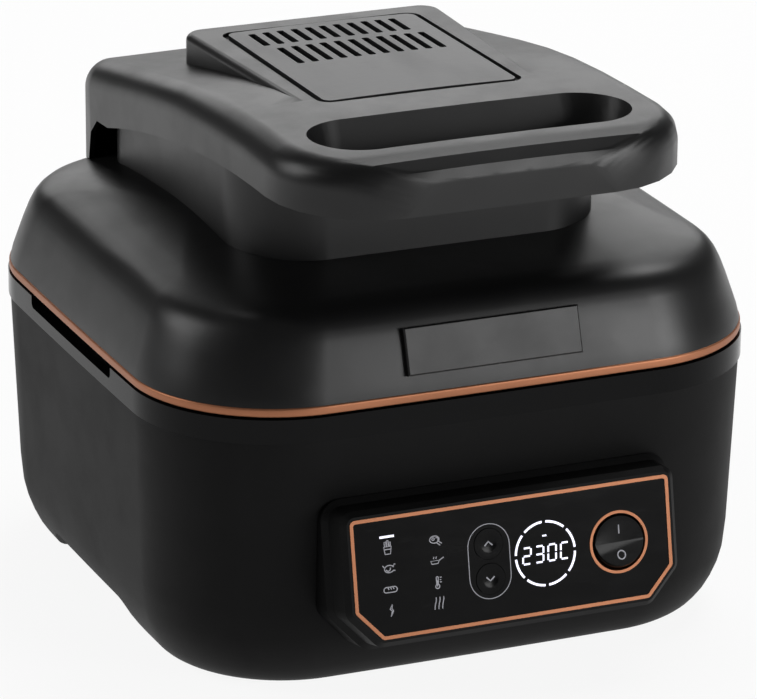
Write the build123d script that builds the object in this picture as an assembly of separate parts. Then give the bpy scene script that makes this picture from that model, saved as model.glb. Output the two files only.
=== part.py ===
from build123d import *
import math
import os

# Sizes are in millimetres. X runs to the right, Y to the rear and Z up from the table.
# Everything is drawn about the centre of the rim and moved at the end so that the
# middle of the whole footprint is the origin.

# Clearances
FIT = 0.1
SEAT = 0.3
RUNNING = 0.05

# Cutting shapes that go right through run up to this height
TOOL_REACH = 310.0

# Body outline at the rim
RIM_HALF_WIDTH = 174.0
RIM_HALF_DEPTH = 171.7
RIM_CORNER = 78.9
SIDE_BOW = 1.7
CORNER_SHRINK = 0.6

# Heights, from the table up
FOOT_HEIGHT = 2.2
BODY_TOP = 147.0
BAND_TOP = 160.5
TRIM_BOTTOM = 161.5
TRIM_TOP = 166.5
DOME_RIDGE = 210.2

# How far the body wall stands in from the rim at each height
BODY_INSETS = [
    (FOOT_HEIGHT, 24.0),
    (3.4, 21.2),
    (5.0, 19.0),
    (7.0, 16.9),
    (10.0, 14.6),
    (14.0, 12.0),
    (20.0, 9.2),
    (27.0, 6.7),
    (35.0, 4.9),
    (50.0, 3.6),
    (98.0, 1.8),
    (BODY_TOP, 0.0),
]

# How far the lid's dome stands in from the rim, up to its ridge
DOME_INSETS = [
    (TRIM_TOP, 0.2),
    (172.0, 1.4),
    (180.0, 3.9),
    (190.0, 7.1),
    (197.0, 9.6),
    (202.0, 11.9),
    (205.5, 14.3),
    (208.3, 17.3),
    (DOME_RIDGE, 20.9),
    (211.6, 25.4),
]

# The crowned plateau above the ridge: height, half width, front, rear, corner radius
DOME_CROWN = [
    (213.4, 141.5, -137.0, 138.0, 61.0),
    (215.3, 135.5, -118.0, 125.0, 57.0),
    (217.7, 127.0, -95.0, 112.0, 52.0),
    (220.4, 117.5, -70.0, 88.0, 46.0),
    (223.6, 106.0, -34.0, 46.0, 34.0),
]

# Walls
BODY_WALL = 2.8
LID_WALL = 2.8
COVER_WALL = 3.0
SHEET = 1.0

# Gloss band on top of the body
BAND_PROUD = 1.0
BAND_OPENING_HALF_WIDTH = 150.0
BAND_OPENING_HALF_DEPTH = 148.0
BAND_OPENING_CORNER = 58.0
BAND_REBATE_GROW = 7.5
BAND_REBATE_DEPTH = 3.5
GRIP_LENGTH = 126.0
GRIP_MIDDLE_Y = 3.0
GRIP_HEIGHT = 6.5
GRIP_DEPTH = 12.0
GRIP_END_RADIUS = 3.0

# Lifting arches at the bottom of both sides
ARCH_FRONT_Y = -72.0
ARCH_REAR_Y = 88.0
ARCH_RAMP = 27.0
ARCH_TOP = 20.5
ARCH_REACH = 38.0
ARCH_RADIUS = 14.0

# Bottom plate, its opening and its fasteners
PLATE_HALF_WIDTH = 128.0
PLATE_HALF_DEPTH = 131.0
PLATE_CORNER = 46.0
PLATE_THICKNESS = 1.8
PLATE_LAP = 14.0
FLOOR_FLANGE = 2.6
PLATE_SLOT_COUNT = 9
PLATE_SLOT_LENGTH = 46.0
PLATE_SLOT_WIDTH = 4.0
PLATE_SLOT_PITCH = 12.0
PLATE_SCREW_X = 119.5
PLATE_SCREW_Y = 78.0
SCREW_RADIUS = 1.7
SCREW_HEAD_RADIUS = 3.2
SCREW_HEAD_HEIGHT = 1.6
SCREW_LENGTH = 7.0
BOSS_RADIUS = 4.2

# Rubber feet
FOOT_X = 92.0
FOOT_Y = 96.0
FOOT_RADIUS = 12.0
FOOT_STEM_RADIUS = 4.5
FOOT_BUTTON_RADIUS = 6.0
FOOT_BUTTON_HEIGHT = 2.0

# Cooking chamber liner, pot and rack
LINER_HALF_WIDTH = 148.5
LINER_HALF_DEPTH = 146.5
LINER_CORNER = 56.0
LINER_FLOOR = 28.0
POT_HALF_WIDTH = 144.0
POT_HALF_DEPTH = 142.0
POT_CORNER = 52.0
POT_FLOOR = 46.0
POT_WALL = 2.0
POT_BASE_ROUND = 12.0
FLANGE_OVERHANG = 4.8
RACK_HALF_WIDTH = 127.0
RACK_HALF_DEPTH = 125.0
RACK_CORNER = 42.0
RACK_HEIGHT = 15.0
RACK_PLATE = 1.6
RACK_SLOT_LENGTH = 62.0
RACK_ROW_SHARE = 0.62
RACK_SLOT_WIDTH = 9.0
RACK_SLOT_PITCH = 22.0
RACK_SLOT_COUNT = 9
RACK_LEG_RADIUS = 4.0
RACK_LEG_X = 104.0
RACK_LEG_Y = 96.0

# Heating plate under the pot and its element
HOTPLATE_RADIUS = 104.0
HOTPLATE_THICKNESS = 5.7
HOTPLATE_LEG_RADIUS = 4.0
HOTPLATE_LEG_CIRCLE = 58.0
SENSOR_RADIUS = 9.0
SENSOR_BORE = 10.5
ELEMENT_RADIUS = 3.2
ELEMENT_OUTER = 92.0
ELEMENT_INNER = 76.0
ELEMENT_GAP_ANGLE = 8.0
TERMINAL_LENGTH = 8.0
TERMINAL_RADIUS = 2.0
TERMINAL_GAP = 0.2
TERMINAL_TIP = 3.0

# Control panel, measured in its own leaning plane from its lower edge
PANEL_LEAN = 10.8
PANEL_FOOT_Y = -203.8
PANEL_FOOT_Z = 44.4
PANEL_HALF_WIDTH = 91.7
PANEL_HEIGHT = 65.4
PANEL_CUT_WIDTH = 14.7
PANEL_CUT_HEIGHT = 16.0
PANEL_CORNER = 3.0
OUTLINE_WIDTH = 1.9
OUTLINE_PROUD = 0.4
FACE_THICKNESS = 2.5
HOUSING_LIP = 1.6
HOUSING_BEVEL = 4.4
HOUSING_BEVEL_DEPTH = 3.0
HOUSING_SIDE_DEPTH = 13.0
HOUSING_FLARE = 4.2
HOUSING_FLARE_DEPTH = 2.6
HOUSING_BACK = 46.0
HOUSING_LEDGE = 5.0
WIRE_HOLE_WIDTH = 110.0
WIRE_HOLE_HEIGHT = 26.0
WIRE_HOLE_Z = 78.0

# Power rocker and its switch body
ROCKER_X = 61.0
ROCKER_S = 32.8
ROCKER_RING_OUTER = 17.0
ROCKER_RING_WIDTH = 1.5
ROCKER_RADIUS = 15.1
ROCKER_PIVOT_DEPTH = 4.6
ROCKER_TILT = 8.0
ROCKER_CROWN = 0.9
ROCKER_BOTTOM = 4.4
TRUNNION_RADIUS = 1.6
TRUNNION_REACH = 17.0
SWITCH_RADIUS = 19.0
SWITCH_DEPTH = 16.0
SWITCH_FLOOR = 3.0

# Up and down buttons
BUTTON_X = -14.1
BUTTON_S = 33.1
BUTTON_SPACING = 18.8
BUTTON_RADIUS = 8.2
BUTTON_PROUD = 0.3
BUTTON_TRAVEL = 0.8
BUTTON_FLANGE = 1.2
BUTTON_FLANGE_THICKNESS = 1.0
BUTTON_STEM_RADIUS = 3.0
BUTTON_DISH_RADIUS = 24.0
BUTTON_DISH = 0.5

# Boards and display behind the panel
BOARD_DEPTH = 7.4
BOARD_THICKNESS = 1.6
BOARD_LEFT = -80.0
BOARD_RIGHT = 39.0
BOARD_LOW = 12.0
BOARD_HIGH = 60.0
DISPLAY_X = 18.2
DISPLAY_S = 32.7
DISPLAY_RADIUS = 19.0
POST_RADIUS = 2.4
POWER_BOARD_WIDTH = 96.0
POWER_BOARD_DEPTH = 62.0
POWER_BOARD_Y = 74.0
POWER_BOARD_POST = 4.0
TRANSFORMER = (30.0, 26.0, 13.0)

# Copper trim round the lid and badge plate on the dome
TRIM_PROUD = 0.6
TRIM_DEPTH = 4.2
BADGE_HALF_WIDTH = 50.1
BADGE_BOTTOM = 175.8
BADGE_TOP = 200.0
BADGE_THICKNESS = 2.6
BADGE_EDGE = 0.8

# Neck between the dome and the top cover
NECK_HALF_WIDTH = 106.6
NECK_FRONT = -94.0
NECK_REAR = 148.0
NECK_LOW = 196.0
HATCH_REAR = 112.0
NECK_CORNER = 44.0
NECK_TOP_FRONT = 285.0
NECK_LAP = 12.0

# Top cover, which carries the handle bar at the front and reaches the hinge at the rear
COVER_HALF_WIDTH = 115.2
COVER_FRONT = -189.4
COVER_REAR = 178.0
COVER_CORNER = 55.8
COVER_REAR_CORNER = 46.0
COVER_BOTTOM = 169.0
COVER_SHOULDER = 15.0
COVER_FRONT_ROUND = 13.0
COVER_REAR_ROUND = 34.0
COVER_CROWN = 0.8
COVER_TOP_LINE = [
    (-189.4, 299.4),
    (-150.0, 299.9),
    (-106.0, 299.5),
    (-56.0, 297.9),
    (-4.0, 293.4),
    (49.0, 285.3),
    (104.0, 275.7),
    (178.0, 262.6),
]
COVER_BRIM_LINE = [
    (-215.0, 268.3),
    (-189.4, 269.5),
    (-130.0, 271.3),
    (-60.0, 268.9),
    (0.0, 262.0),
    (60.0, 250.9),
    (104.0, 239.8),
]
LEG_EDGE = [(121.0, 239.0), (131.0, 230.0), (139.0, 205.0)]
ROUND_STEPS = 6
MIDDLE_STEPS = 8

# Handle slot in the cover
SLOT_HALF_WIDTH = 91.5
SLOT_FRONT = -163.0
SLOT_REAR = -104.5
SLOT_FLOOR = 277.0
SLOT_FLOOR_HALF_WIDTH = 86.0
SLOT_FLOOR_FRONT = -161.0
SLOT_FLOOR_REAR = -117.0
SLOT_WALL = 2.4
HANDLE_BASE_THICKNESS = 2.4

# Raised surround of the vent and the vent plate
HUMP_FRONT = -100.0
HUMP_REAR = 91.0
HUMP_FRONT_HALF_WIDTH = 68.0
HUMP_REAR_HALF_WIDTH = 77.0
HUMP_FRONT_TOP = 298.4
HUMP_REAR_TOP = 296.0
HUMP_FOOT = 262.0
HUMP_ROUND = 4.0
VENT_HALF_WIDTH = 56.0
VENT_FRONT = -71.5
VENT_REAR = 72.5
VENT_FRONT_TOP = 298.9
VENT_REAR_TOP = 297.2
VENT_CORNER = 5.0
VENT_THICKNESS = 2.4
VENT_CROWN = 0.6
VENT_GAP = 3.4
VENT_LEDGE = 7.0
VENT_SLOT_COUNT = 11
VENT_SLOT_PITCH = 8.4
VENT_SLOT_STAGGER = 2.1
VENT_SLOT_WIDTH = 4.2
VENT_SLOT_ROUND = 1.4
VENT_REAR_ROW_MIDDLE = 52.8
VENT_REAR_ROW_LENGTH = 25.0
VENT_FRONT_ROW_MIDDLE = 17.0
VENT_FRONT_ROW_LENGTH = 33.0

# Lid liner, gasket, heater and guard
DISH_OPENING_HALF_WIDTH = 146.0
DISH_OPENING_HALF_DEPTH = 144.0
DISH_OPENING_CORNER = 54.0
DISH_TOP = 204.0
DISH_TAPER = 16.0
DISH_FLANGE_BOTTOM = 162.1
GASKET_WIDTH = 6.0
GRILL_ELEMENT_OUTER = 98.0
GRILL_ELEMENT_INNER = 82.0
GRILL_ELEMENT_Z = 186.0
GUARD_RADIUS = 112.0
GUARD_Z = 170.0
GUARD_THICKNESS = 1.2
GUARD_SLOT_COUNT = 16
GUARD_RING_INNER = 26.0
GUARD_RING_OUTER = 98.0
GUARD_SLOT_WIDTH = 6.5
GUARD_SHORT_SHARE = 0.35
GUARD_LEG_RADIUS = 3.0
GUARD_LEG_CIRCLE = 106.0
SHIELD_HALF_WIDTH = 116.0
SHIELD_HALF_DEPTH = 112.0

# Fan, shaft and motor
SHAFT_RADIUS = 4.0
SHAFT_BOTTOM = 178.0
SHAFT_HOLE = 7.0
IMPELLER_RADIUS = 60.0
IMPELLER_Z = 182.5
IMPELLER_BLADES = 12
BLADE_HEIGHT = 12.0
BLADE_THICKNESS = 1.0
BLADE_INNER = 24.0
HUB_RADIUS = 9.0
HUB_HEIGHT = 9.0
COOLER_RADIUS = 50.0
COOLER_Z = 211.0
COOLER_HEIGHT = 7.0
COOLER_BLADES = 9
COOLER_PITCH = 32.0
BRACKET_BOTTOM = DOME_CROWN[-1][0] + SEAT
BRACKET_THICKNESS = 2.0
BRACKET_HALF_DEPTH = 30.0
MOTOR_RADIUS = 34.0
MOTOR_HEIGHT = 34.0
MOTOR_WALL = 3.0
ROTOR_RADIUS = 15.0
ROTOR_HEIGHT = 22.0
STATOR_GAP = 0.6
BRACKET_SCREW_Y = 22.0

# Rear hinge
HINGE_Y = 181.0
HINGE_Z = 158.0
KNUCKLE_RADIUS = 6.0
PIN_RADIUS = 2.5
PIN_HEAD_RADIUS = 4.0
PIN_HEAD = 1.5
KNUCKLE_GAP = 0.5
BASE_KNUCKLE = 14.0
LID_KNUCKLE = 26.0
HINGE_MIDDLE = 14.0
HINGE_PLATE_LOW = 92.0
HINGE_PLATE_THICKNESS = 3.0
HINGE_PLATE_HALF_WIDTH = 64.0
HINGE_ARM_TOP = 198.0

# Rear of the body
LOUVRE_COUNT = 9
LOUVRE_PITCH = 11.0
LOUVRE_WIDTH = 4.0
LOUVRE_HEIGHT = 30.0
LOUVRE_Z = 58.0
GLAND_X = -96.0
GLAND_Z = 44.0
GLAND_RADIUS = 8.0
GLAND_COLLAR_RADIUS = 10.5
GLAND_COLLAR = 3.0
GLAND_BORE = 3.6
GLAND_LENGTH = 12.0

BASE = (Align.CENTER, Align.CENTER, Align.MIN)


def outline(half_width, front, rear, corner, z, bow=SIDE_BOW):
    """A rounded rectangle at one height, each side bowed out at its middle."""
    side = half_width - bow
    low = front + bow
    high = rear - bow
    middle = (front + rear) / 2
    edges = [
        ThreePointArc((-side, low), (0, front), (side, low)),
        ThreePointArc((side, low), (half_width, middle), (side, high)),
        ThreePointArc((side, high), (0, rear), (-side, high)),
        ThreePointArc((-side, high), (-half_width, middle), (-side, low)),
    ]
    face = make_face(edges)
    return Pos(0, 0, z) * fillet(face.vertices(), corner)


def rim_outline(inset, z):
    """The body's outline at one height, standing in from the rim."""
    return outline(
        RIM_HALF_WIDTH - inset,
        inset - RIM_HALF_DEPTH,
        RIM_HALF_DEPTH - inset,
        RIM_CORNER - CORNER_SHRINK * inset,
        z,
    )


def block(half_width, half_depth, corner, low, high):
    """A rounded rectangular block between two heights."""
    face = RectangleRounded(2 * half_width, 2 * half_depth, corner)
    return Pos(0, 0, low) * extrude(face, high - low)


def disc(radius, low, high, x=0.0, y=0.0):
    return Pos(x, y, low) * Cylinder(radius, high - low, align=BASE)


def along_x(sketch, half_width):
    """A side profile drawn as (Y, Z) and pushed out to both sides."""
    return extrude(Plane.YZ * sketch, half_width, both=True)


def polygon(points):
    return Polygon(*points, align=None)


def copies(shape, places):
    """One solid for each place."""
    return Compound(children=[Pos(*place) * shape for place in places])


def corners(x, y):
    return [(-x, -y, 0), (x, -y, 0), (x, y, 0), (-x, y, 0)]


def on_circle(radius, angle):
    """A point on a circle, the angle counted from the rear towards the right."""
    return (radius * math.sin(angle), radius * math.cos(angle))


def terminal_places(outer, inner):
    """Where the two ends of a bent element turn into their terminals."""
    gap = math.radians(ELEMENT_GAP_ANGLE)
    return [on_circle(outer, gap), on_circle(inner, gap)]


parts = {}

# Body shell: a tapered tub with a rounded foot, lifting arches and rear louvres


def body_solid(inset):
    """The tub's outer form, drawn in by a wall."""
    rows = [rim_outline(rise + inset, z) for z, rise in BODY_INSETS]
    return loft(rows, ruled=True)


def arch_solid(grow):
    """The scoop under each side that takes the fingers."""
    low = -FOOT_HEIGHT
    points = [
        (ARCH_FRONT_Y - grow, low),
        (ARCH_FRONT_Y + ARCH_RAMP - grow, ARCH_TOP + grow),
        (ARCH_REAR_Y - ARCH_RAMP + grow, ARCH_TOP + grow),
        (ARCH_REAR_Y + grow, low),
    ]
    face = polygon(points)
    upper = face.vertices().group_by(Axis.Y)[-1]
    face = fillet(upper, ARCH_RADIUS)
    whole = along_x(face, RIM_HALF_WIDTH)
    middle = Box(
        2 * (RIM_HALF_WIDTH - ARCH_REACH - grow),
        2 * RIM_HALF_DEPTH,
        4 * ARCH_TOP,
    )
    return whole - middle


body_outer = body_solid(0)
body_floor = FOOT_HEIGHT + PLATE_THICKNESS + FIT
flange_top = body_floor + FLOOR_FLANGE
body_inner = body_solid(BODY_WALL) & Pos(0, 0, flange_top) * Box(
    2 * RIM_HALF_WIDTH, 2 * RIM_HALF_DEPTH, BODY_TOP, align=BASE
)
base_shell = body_outer - body_inner
plate_screws = corners(PLATE_SCREW_X, PLATE_SCREW_Y)
boss_top = FOOT_HEIGHT + SCREW_LENGTH + 1
bosses = [disc(BOSS_RADIUS, flange_top, boss_top, x, y) for x, y, _ in plate_screws]
base_shell += [arch_solid(BODY_WALL) & body_outer, *bosses]
shell_cuts = [
    arch_solid(0),
    block(
        PLATE_HALF_WIDTH + SEAT, PLATE_HALF_DEPTH + SEAT, PLATE_CORNER, 0, body_floor
    ),
    block(
        PLATE_HALF_WIDTH - PLATE_LAP,
        PLATE_HALF_DEPTH - PLATE_LAP,
        PLATE_CORNER - PLATE_LAP / 2,
        0,
        2 * flange_top,
    ),
    Pos(0, -RIM_HALF_DEPTH, WIRE_HOLE_Z)
    * Box(WIRE_HOLE_WIDTH, 6 * BODY_WALL, WIRE_HOLE_HEIGHT),
]
for x, y, _ in plate_screws:
    shell_cuts.append(disc(SCREW_RADIUS + FIT, 0, FOOT_HEIGHT + SCREW_LENGTH, x, y))
for n in range(LOUVRE_COUNT):
    louvre_x = (n - (LOUVRE_COUNT - 1) / 2) * LOUVRE_PITCH
    louvre = Box(LOUVRE_WIDTH, 6 * BODY_WALL, LOUVRE_HEIGHT)
    shell_cuts.append(Pos(louvre_x, RIM_HALF_DEPTH, LOUVRE_Z) * louvre)
gland_axis = Pos(GLAND_X, RIM_HALF_DEPTH, GLAND_Z) * Rot(90, 0, 0)
shell_cuts.append(gland_axis * Cylinder(GLAND_RADIUS + FIT, 6 * GLAND_LENGTH))
base_shell -= shell_cuts
parts["base_shell"] = base_shell

# Bottom plate with its cooling slots and board posts
plate_low = FOOT_HEIGHT
plate_top = FOOT_HEIGHT + PLATE_THICKNESS
base_plate = block(
    PLATE_HALF_WIDTH, PLATE_HALF_DEPTH, PLATE_CORNER, plate_low, plate_top
)
plate_cuts = []
for n in range(PLATE_SLOT_COUNT):
    slot_y = (n - (PLATE_SLOT_COUNT - 1) / 2) * PLATE_SLOT_PITCH - PLATE_HALF_DEPTH / 4
    plate_slot = Box(PLATE_SLOT_LENGTH, PLATE_SLOT_WIDTH, 4 * PLATE_THICKNESS)
    plate_cuts.append(Pos(0, slot_y, plate_low) * plate_slot)
foot_places = corners(FOOT_X, FOOT_Y)
for x, y, _ in foot_places:
    plate_cuts.append(disc(FOOT_STEM_RADIUS + FIT, 0, 2 * plate_top, x, y))
for x, y, _ in plate_screws:
    plate_cuts.append(disc(SCREW_RADIUS + FIT, 0, 2 * plate_top, x, y))
board_low = plate_top + POWER_BOARD_POST
post_x = POWER_BOARD_WIDTH / 2 - 2 * POST_RADIUS
post_y = POWER_BOARD_DEPTH / 2 - 2 * POST_RADIUS
base_plate -= plate_cuts
base_plate += [
    disc(POST_RADIUS, plate_top, board_low, x, POWER_BOARD_Y + y)
    for x, y, _ in corners(post_x, post_y)
]
parts["base_plate"] = base_plate

foot = disc(FOOT_RADIUS, 0, FOOT_HEIGHT - FIT)
foot += disc(FOOT_STEM_RADIUS, 0, plate_top + FIT)
foot += disc(FOOT_BUTTON_RADIUS, plate_top + FIT, plate_top + FIT + FOOT_BUTTON_HEIGHT)
parts["feet"] = copies(foot, foot_places)

screw_up = disc(SCREW_HEAD_RADIUS, FOOT_HEIGHT - SCREW_HEAD_HEIGHT, FOOT_HEIGHT)
screw_up += disc(SCREW_RADIUS, FOOT_HEIGHT, FOOT_HEIGHT + SCREW_LENGTH)
parts["base_screws"] = copies(screw_up, plate_screws)

power_board = Pos(0, POWER_BOARD_Y, board_low) * Box(
    POWER_BOARD_WIDTH, POWER_BOARD_DEPTH, BOARD_THICKNESS, align=BASE
)
power_board += Pos(
    POWER_BOARD_WIDTH / 4, POWER_BOARD_Y, board_low + BOARD_THICKNESS
) * Box(*TRANSFORMER, align=BASE)
power_board += disc(
    SENSOR_RADIUS,
    board_low,
    board_low + TRANSFORMER[2],
    -POWER_BOARD_WIDTH / 4,
    POWER_BOARD_Y,
)
parts["power_board"] = power_board

collar = gland_axis * Cylinder(GLAND_COLLAR_RADIUS, 2 * GLAND_COLLAR)
collar -= body_solid(-FIT)
gland = collar.solids().sort_by(Axis.Y)[-1]
gland += gland_axis * Cylinder(GLAND_RADIUS, 2 * GLAND_LENGTH)
gland -= gland_axis * Cylinder(GLAND_BORE, 4 * GLAND_LENGTH)
gland -= gland_axis * Pos(0, 0, -GLAND_COLLAR) * Cylinder(
    2 * GLAND_COLLAR_RADIUS, 4 * GLAND_LENGTH, align=(Align.CENTER, Align.CENTER, Align.MAX)
)
parts["cord_gland"] = gland

# Gloss band that carries the liner and the pot, with a grip at each side
band = loft([rim_outline(-BAND_PROUD, z) for z in (BODY_TOP, BAND_TOP)])
band -= block(
    BAND_OPENING_HALF_WIDTH,
    BAND_OPENING_HALF_DEPTH,
    BAND_OPENING_CORNER,
    BODY_TOP / 2,
    2 * BAND_TOP,
)
rebate_floor = BAND_TOP - BAND_REBATE_DEPTH
band -= block(
    BAND_OPENING_HALF_WIDTH + BAND_REBATE_GROW,
    BAND_OPENING_HALF_DEPTH + BAND_REBATE_GROW,
    BAND_OPENING_CORNER + BAND_REBATE_GROW,
    rebate_floor,
    2 * BAND_TOP,
)
grip_face = RectangleRounded(GRIP_LENGTH, 2 * GRIP_HEIGHT, GRIP_END_RADIUS)
grip = extrude(
    Plane.YZ * Pos(GRIP_MIDDLE_Y, BAND_TOP) * grip_face, 2 * RIM_HALF_WIDTH, both=True
)
grip -= Box(2 * (RIM_HALF_WIDTH - GRIP_DEPTH), 4 * GRIP_LENGTH, 4 * BAND_TOP)
band -= grip
parts["rim_band"] = band


def pan(half_width, half_depth, corner, low, high, wall, base_round):
    """A deep pan with a rounded bottom edge."""
    outer = block(half_width, half_depth, corner, low, high)
    outer = fillet(outer.faces().sort_by(Axis.Z)[0].edges(), base_round)
    inner = block(
        half_width - wall, half_depth - wall, corner - wall, low + wall, 2 * high
    )
    inner = fillet(inner.faces().sort_by(Axis.Z)[0].edges(), base_round - wall)
    return outer - inner


def flange(half_width, half_depth, corner, reach, low, high):
    """A flat rim standing out from a pan."""
    outer = block(half_width + reach, half_depth + reach, corner + reach, low, high)
    return outer - block(half_width, half_depth, corner, low - high, 2 * high)


liner = pan(
    LINER_HALF_WIDTH,
    LINER_HALF_DEPTH,
    LINER_CORNER,
    LINER_FLOOR,
    rebate_floor + SHEET,
    SHEET,
    POT_BASE_ROUND,
)
liner += flange(
    LINER_HALF_WIDTH - SHEET / 2,
    LINER_HALF_DEPTH - SHEET / 2,
    LINER_CORNER,
    FLANGE_OVERHANG + BAND_OPENING_HALF_WIDTH - LINER_HALF_WIDTH,
    rebate_floor,
    rebate_floor + SHEET,
)
liner_floor_top = LINER_FLOOR + SHEET
terminal_holes = [
    disc(TERMINAL_RADIUS + TERMINAL_GAP, 0, 1.2 * LINER_FLOOR, x, y)
    for x, y in terminal_places(ELEMENT_OUTER, ELEMENT_INNER)
]
liner -= terminal_holes
parts["chamber_liner"] = liner

flange_low = rebate_floor + SHEET + FIT
pot = pan(
    POT_HALF_WIDTH,
    POT_HALF_DEPTH,
    POT_CORNER,
    POT_FLOOR,
    flange_low + POT_WALL,
    POT_WALL,
    POT_BASE_ROUND,
)
pot += flange(
    POT_HALF_WIDTH - POT_WALL / 2,
    POT_HALF_DEPTH - POT_WALL / 2,
    POT_CORNER,
    FLANGE_OVERHANG + LINER_HALF_WIDTH - POT_HALF_WIDTH,
    flange_low,
    flange_low + POT_WALL,
)
pot_top = flange_low + POT_WALL
parts["pot"] = pot

rack_low = POT_FLOOR + POT_WALL + FIT
rack_top = rack_low + RACK_HEIGHT
rack = block(
    RACK_HALF_WIDTH, RACK_HALF_DEPTH, RACK_CORNER, rack_top - RACK_PLATE, rack_top
)
rack_slot = extrude(
    SlotOverall(RACK_SLOT_LENGTH, RACK_SLOT_WIDTH, rotation=90), 2 * RACK_HEIGHT
)
rack_cuts = []
for n in range(RACK_SLOT_COUNT):
    slot_x = (n - (RACK_SLOT_COUNT - 1) / 2) * RACK_SLOT_PITCH
    for slot_y in (-RACK_SLOT_LENGTH * RACK_ROW_SHARE, RACK_SLOT_LENGTH * RACK_ROW_SHARE):
        rack_cuts.append(Pos(slot_x, slot_y, rack_low) * rack_slot)
rack -= rack_cuts
for x, y, _ in corners(RACK_LEG_X, RACK_LEG_Y):
    rack += disc(RACK_LEG_RADIUS, rack_low, rack_top - RACK_PLATE / 2, x, y)
parts["rack"] = rack

# Heating plate, bent element under it and the sensor in its middle


def element(outer, inner, z, terminal_end):
    """A tube bent once round and back again, its two ends turned to the terminals."""
    gap = math.radians(ELEMENT_GAP_ANGLE)
    middle = (outer + inner) / 2
    bend = (outer - inner) / 2
    turn = bend / middle
    end = -gap - turn
    bulge = on_circle(middle, end + turn)
    path = [
        ThreePointArc(
            on_circle(outer, gap), on_circle(outer, math.pi), on_circle(outer, end)
        ),
        ThreePointArc(on_circle(outer, end), bulge, on_circle(inner, end)),
        ThreePointArc(
            on_circle(inner, end), on_circle(inner, math.pi), on_circle(inner, gap)
        ),
    ]
    wire = Pos(0, 0, z) * Wire(path)
    start = wire @ 0
    section = Plane(origin=start, z_dir=wire % 0) * Circle(ELEMENT_RADIUS)
    tube = sweep(section, path=wire)
    low = min(z, terminal_end)
    high = max(z, terminal_end)
    tube += [disc(TERMINAL_RADIUS, low, high, x, y) for x, y in terminal_places(outer, inner)]
    return tube


hotplate_low = POT_FLOOR - SEAT - HOTPLATE_THICKNESS
hotplate = disc(HOTPLATE_RADIUS, hotplate_low, POT_FLOOR - SEAT)
hotplate = chamfer(hotplate.faces().sort_by(Axis.Z)[-1].edges(), 1.0)
hotplate -= disc(SENSOR_BORE, 0, 2 * POT_FLOOR)
for turn in range(3):
    angle = math.radians(120 * turn + 90)
    hotplate += disc(
        HOTPLATE_LEG_RADIUS,
        liner_floor_top + FIT,
        hotplate_low + 1,
        HOTPLATE_LEG_CIRCLE * math.cos(angle),
        HOTPLATE_LEG_CIRCLE * math.sin(angle),
    )
parts["heating_plate"] = hotplate
lower_element_z = hotplate_low - SEAT - ELEMENT_RADIUS
parts["lower_element"] = element(
    ELEMENT_OUTER,
    ELEMENT_INNER,
    lower_element_z,
    lower_element_z - TERMINAL_LENGTH - ELEMENT_RADIUS,
)
sensor = disc(SENSOR_RADIUS, liner_floor_top + FIT, POT_FLOOR - SEAT)
sensor = chamfer(sensor.faces().sort_by(Axis.Z)[-1].edges(), 1.5)
parts["temperature_sensor"] = sensor

# Control panel
lean = math.radians(PANEL_LEAN)
panel = Plane(
    origin=(0, PANEL_FOOT_Y, PANEL_FOOT_Z),
    x_dir=(1, 0, 0),
    z_dir=(0, -math.cos(lean), math.sin(lean)),
).location


def panel_outline(grow, corner):
    """The panel's outline with its two cut lower corners, grown evenly."""
    half = PANEL_HALF_WIDTH
    points = [
        (-half, PANEL_CUT_HEIGHT),
        (PANEL_CUT_WIDTH - half, 0),
        (half - PANEL_CUT_WIDTH, 0),
        (half, PANEL_CUT_HEIGHT),
        (half, PANEL_HEIGHT),
        (-half, PANEL_HEIGHT),
    ]
    moved = []
    for k, point in enumerate(points):
        before = Vector(*point) - Vector(*points[k - 1])
        after = Vector(*points[(k + 1) % len(points)]) - Vector(*point)
        out_a = Vector(before.Y, -before.X).normalized()
        out_b = Vector(after.Y, -after.X).normalized()
        shift = (out_a + out_b) * (grow / (1 + out_a.dot(out_b)))
        moved.append((point[0] + shift.X, point[1] + shift.Y))
    face = polygon(moved)
    return fillet(face.vertices(), corner)


def panel_slab(grow, corner, low, high):
    """A slab of the panel's outline between two depths, zero being the face."""
    return Pos(0, 0, low) * extrude(panel_outline(grow, corner), high - low)


ledge_depth = FACE_THICKNESS + FIT
bevel_at = HOUSING_BEVEL_DEPTH
side_end = bevel_at + HOUSING_SIDE_DEPTH
flare_end = side_end + HOUSING_FLARE_DEPTH
housing_rows = [
    (0.0, HOUSING_LIP),
    (bevel_at, HOUSING_BEVEL),
    (side_end, HOUSING_BEVEL + 1),
]
flare_rows = [
    (side_end, HOUSING_BEVEL + 1),
    (flare_end, HOUSING_BEVEL + HOUSING_FLARE),
    (HOUSING_BACK, HOUSING_BEVEL + HOUSING_FLARE),
]


def housing_loft(rows):
    faces = [Pos(0, 0, -depth) * panel_outline(g, PANEL_CORNER + g) for depth, g in rows]
    return loft(faces, ruled=True)


housing = housing_loft(housing_rows) + housing_loft(flare_rows)
housing -= panel_slab(FIT, PANEL_CORNER, -ledge_depth, 1)
housing -= panel_slab(-HOUSING_LEDGE, PANEL_CORNER, -2 * HOUSING_BACK, 1)
panel_housing = panel * housing - body_solid(-FIT)
panel_housing = panel_housing.solids().sort_by(Axis.Y)[0]
parts["panel_housing"] = panel_housing

copper = panel_slab(0, PANEL_CORNER, -FACE_THICKNESS, OUTLINE_PROUD)
copper -= panel_slab(-OUTLINE_WIDTH, PANEL_CORNER / 2, -2 * FACE_THICKNESS, 1)
parts["panel_outline"] = panel * copper

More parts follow.
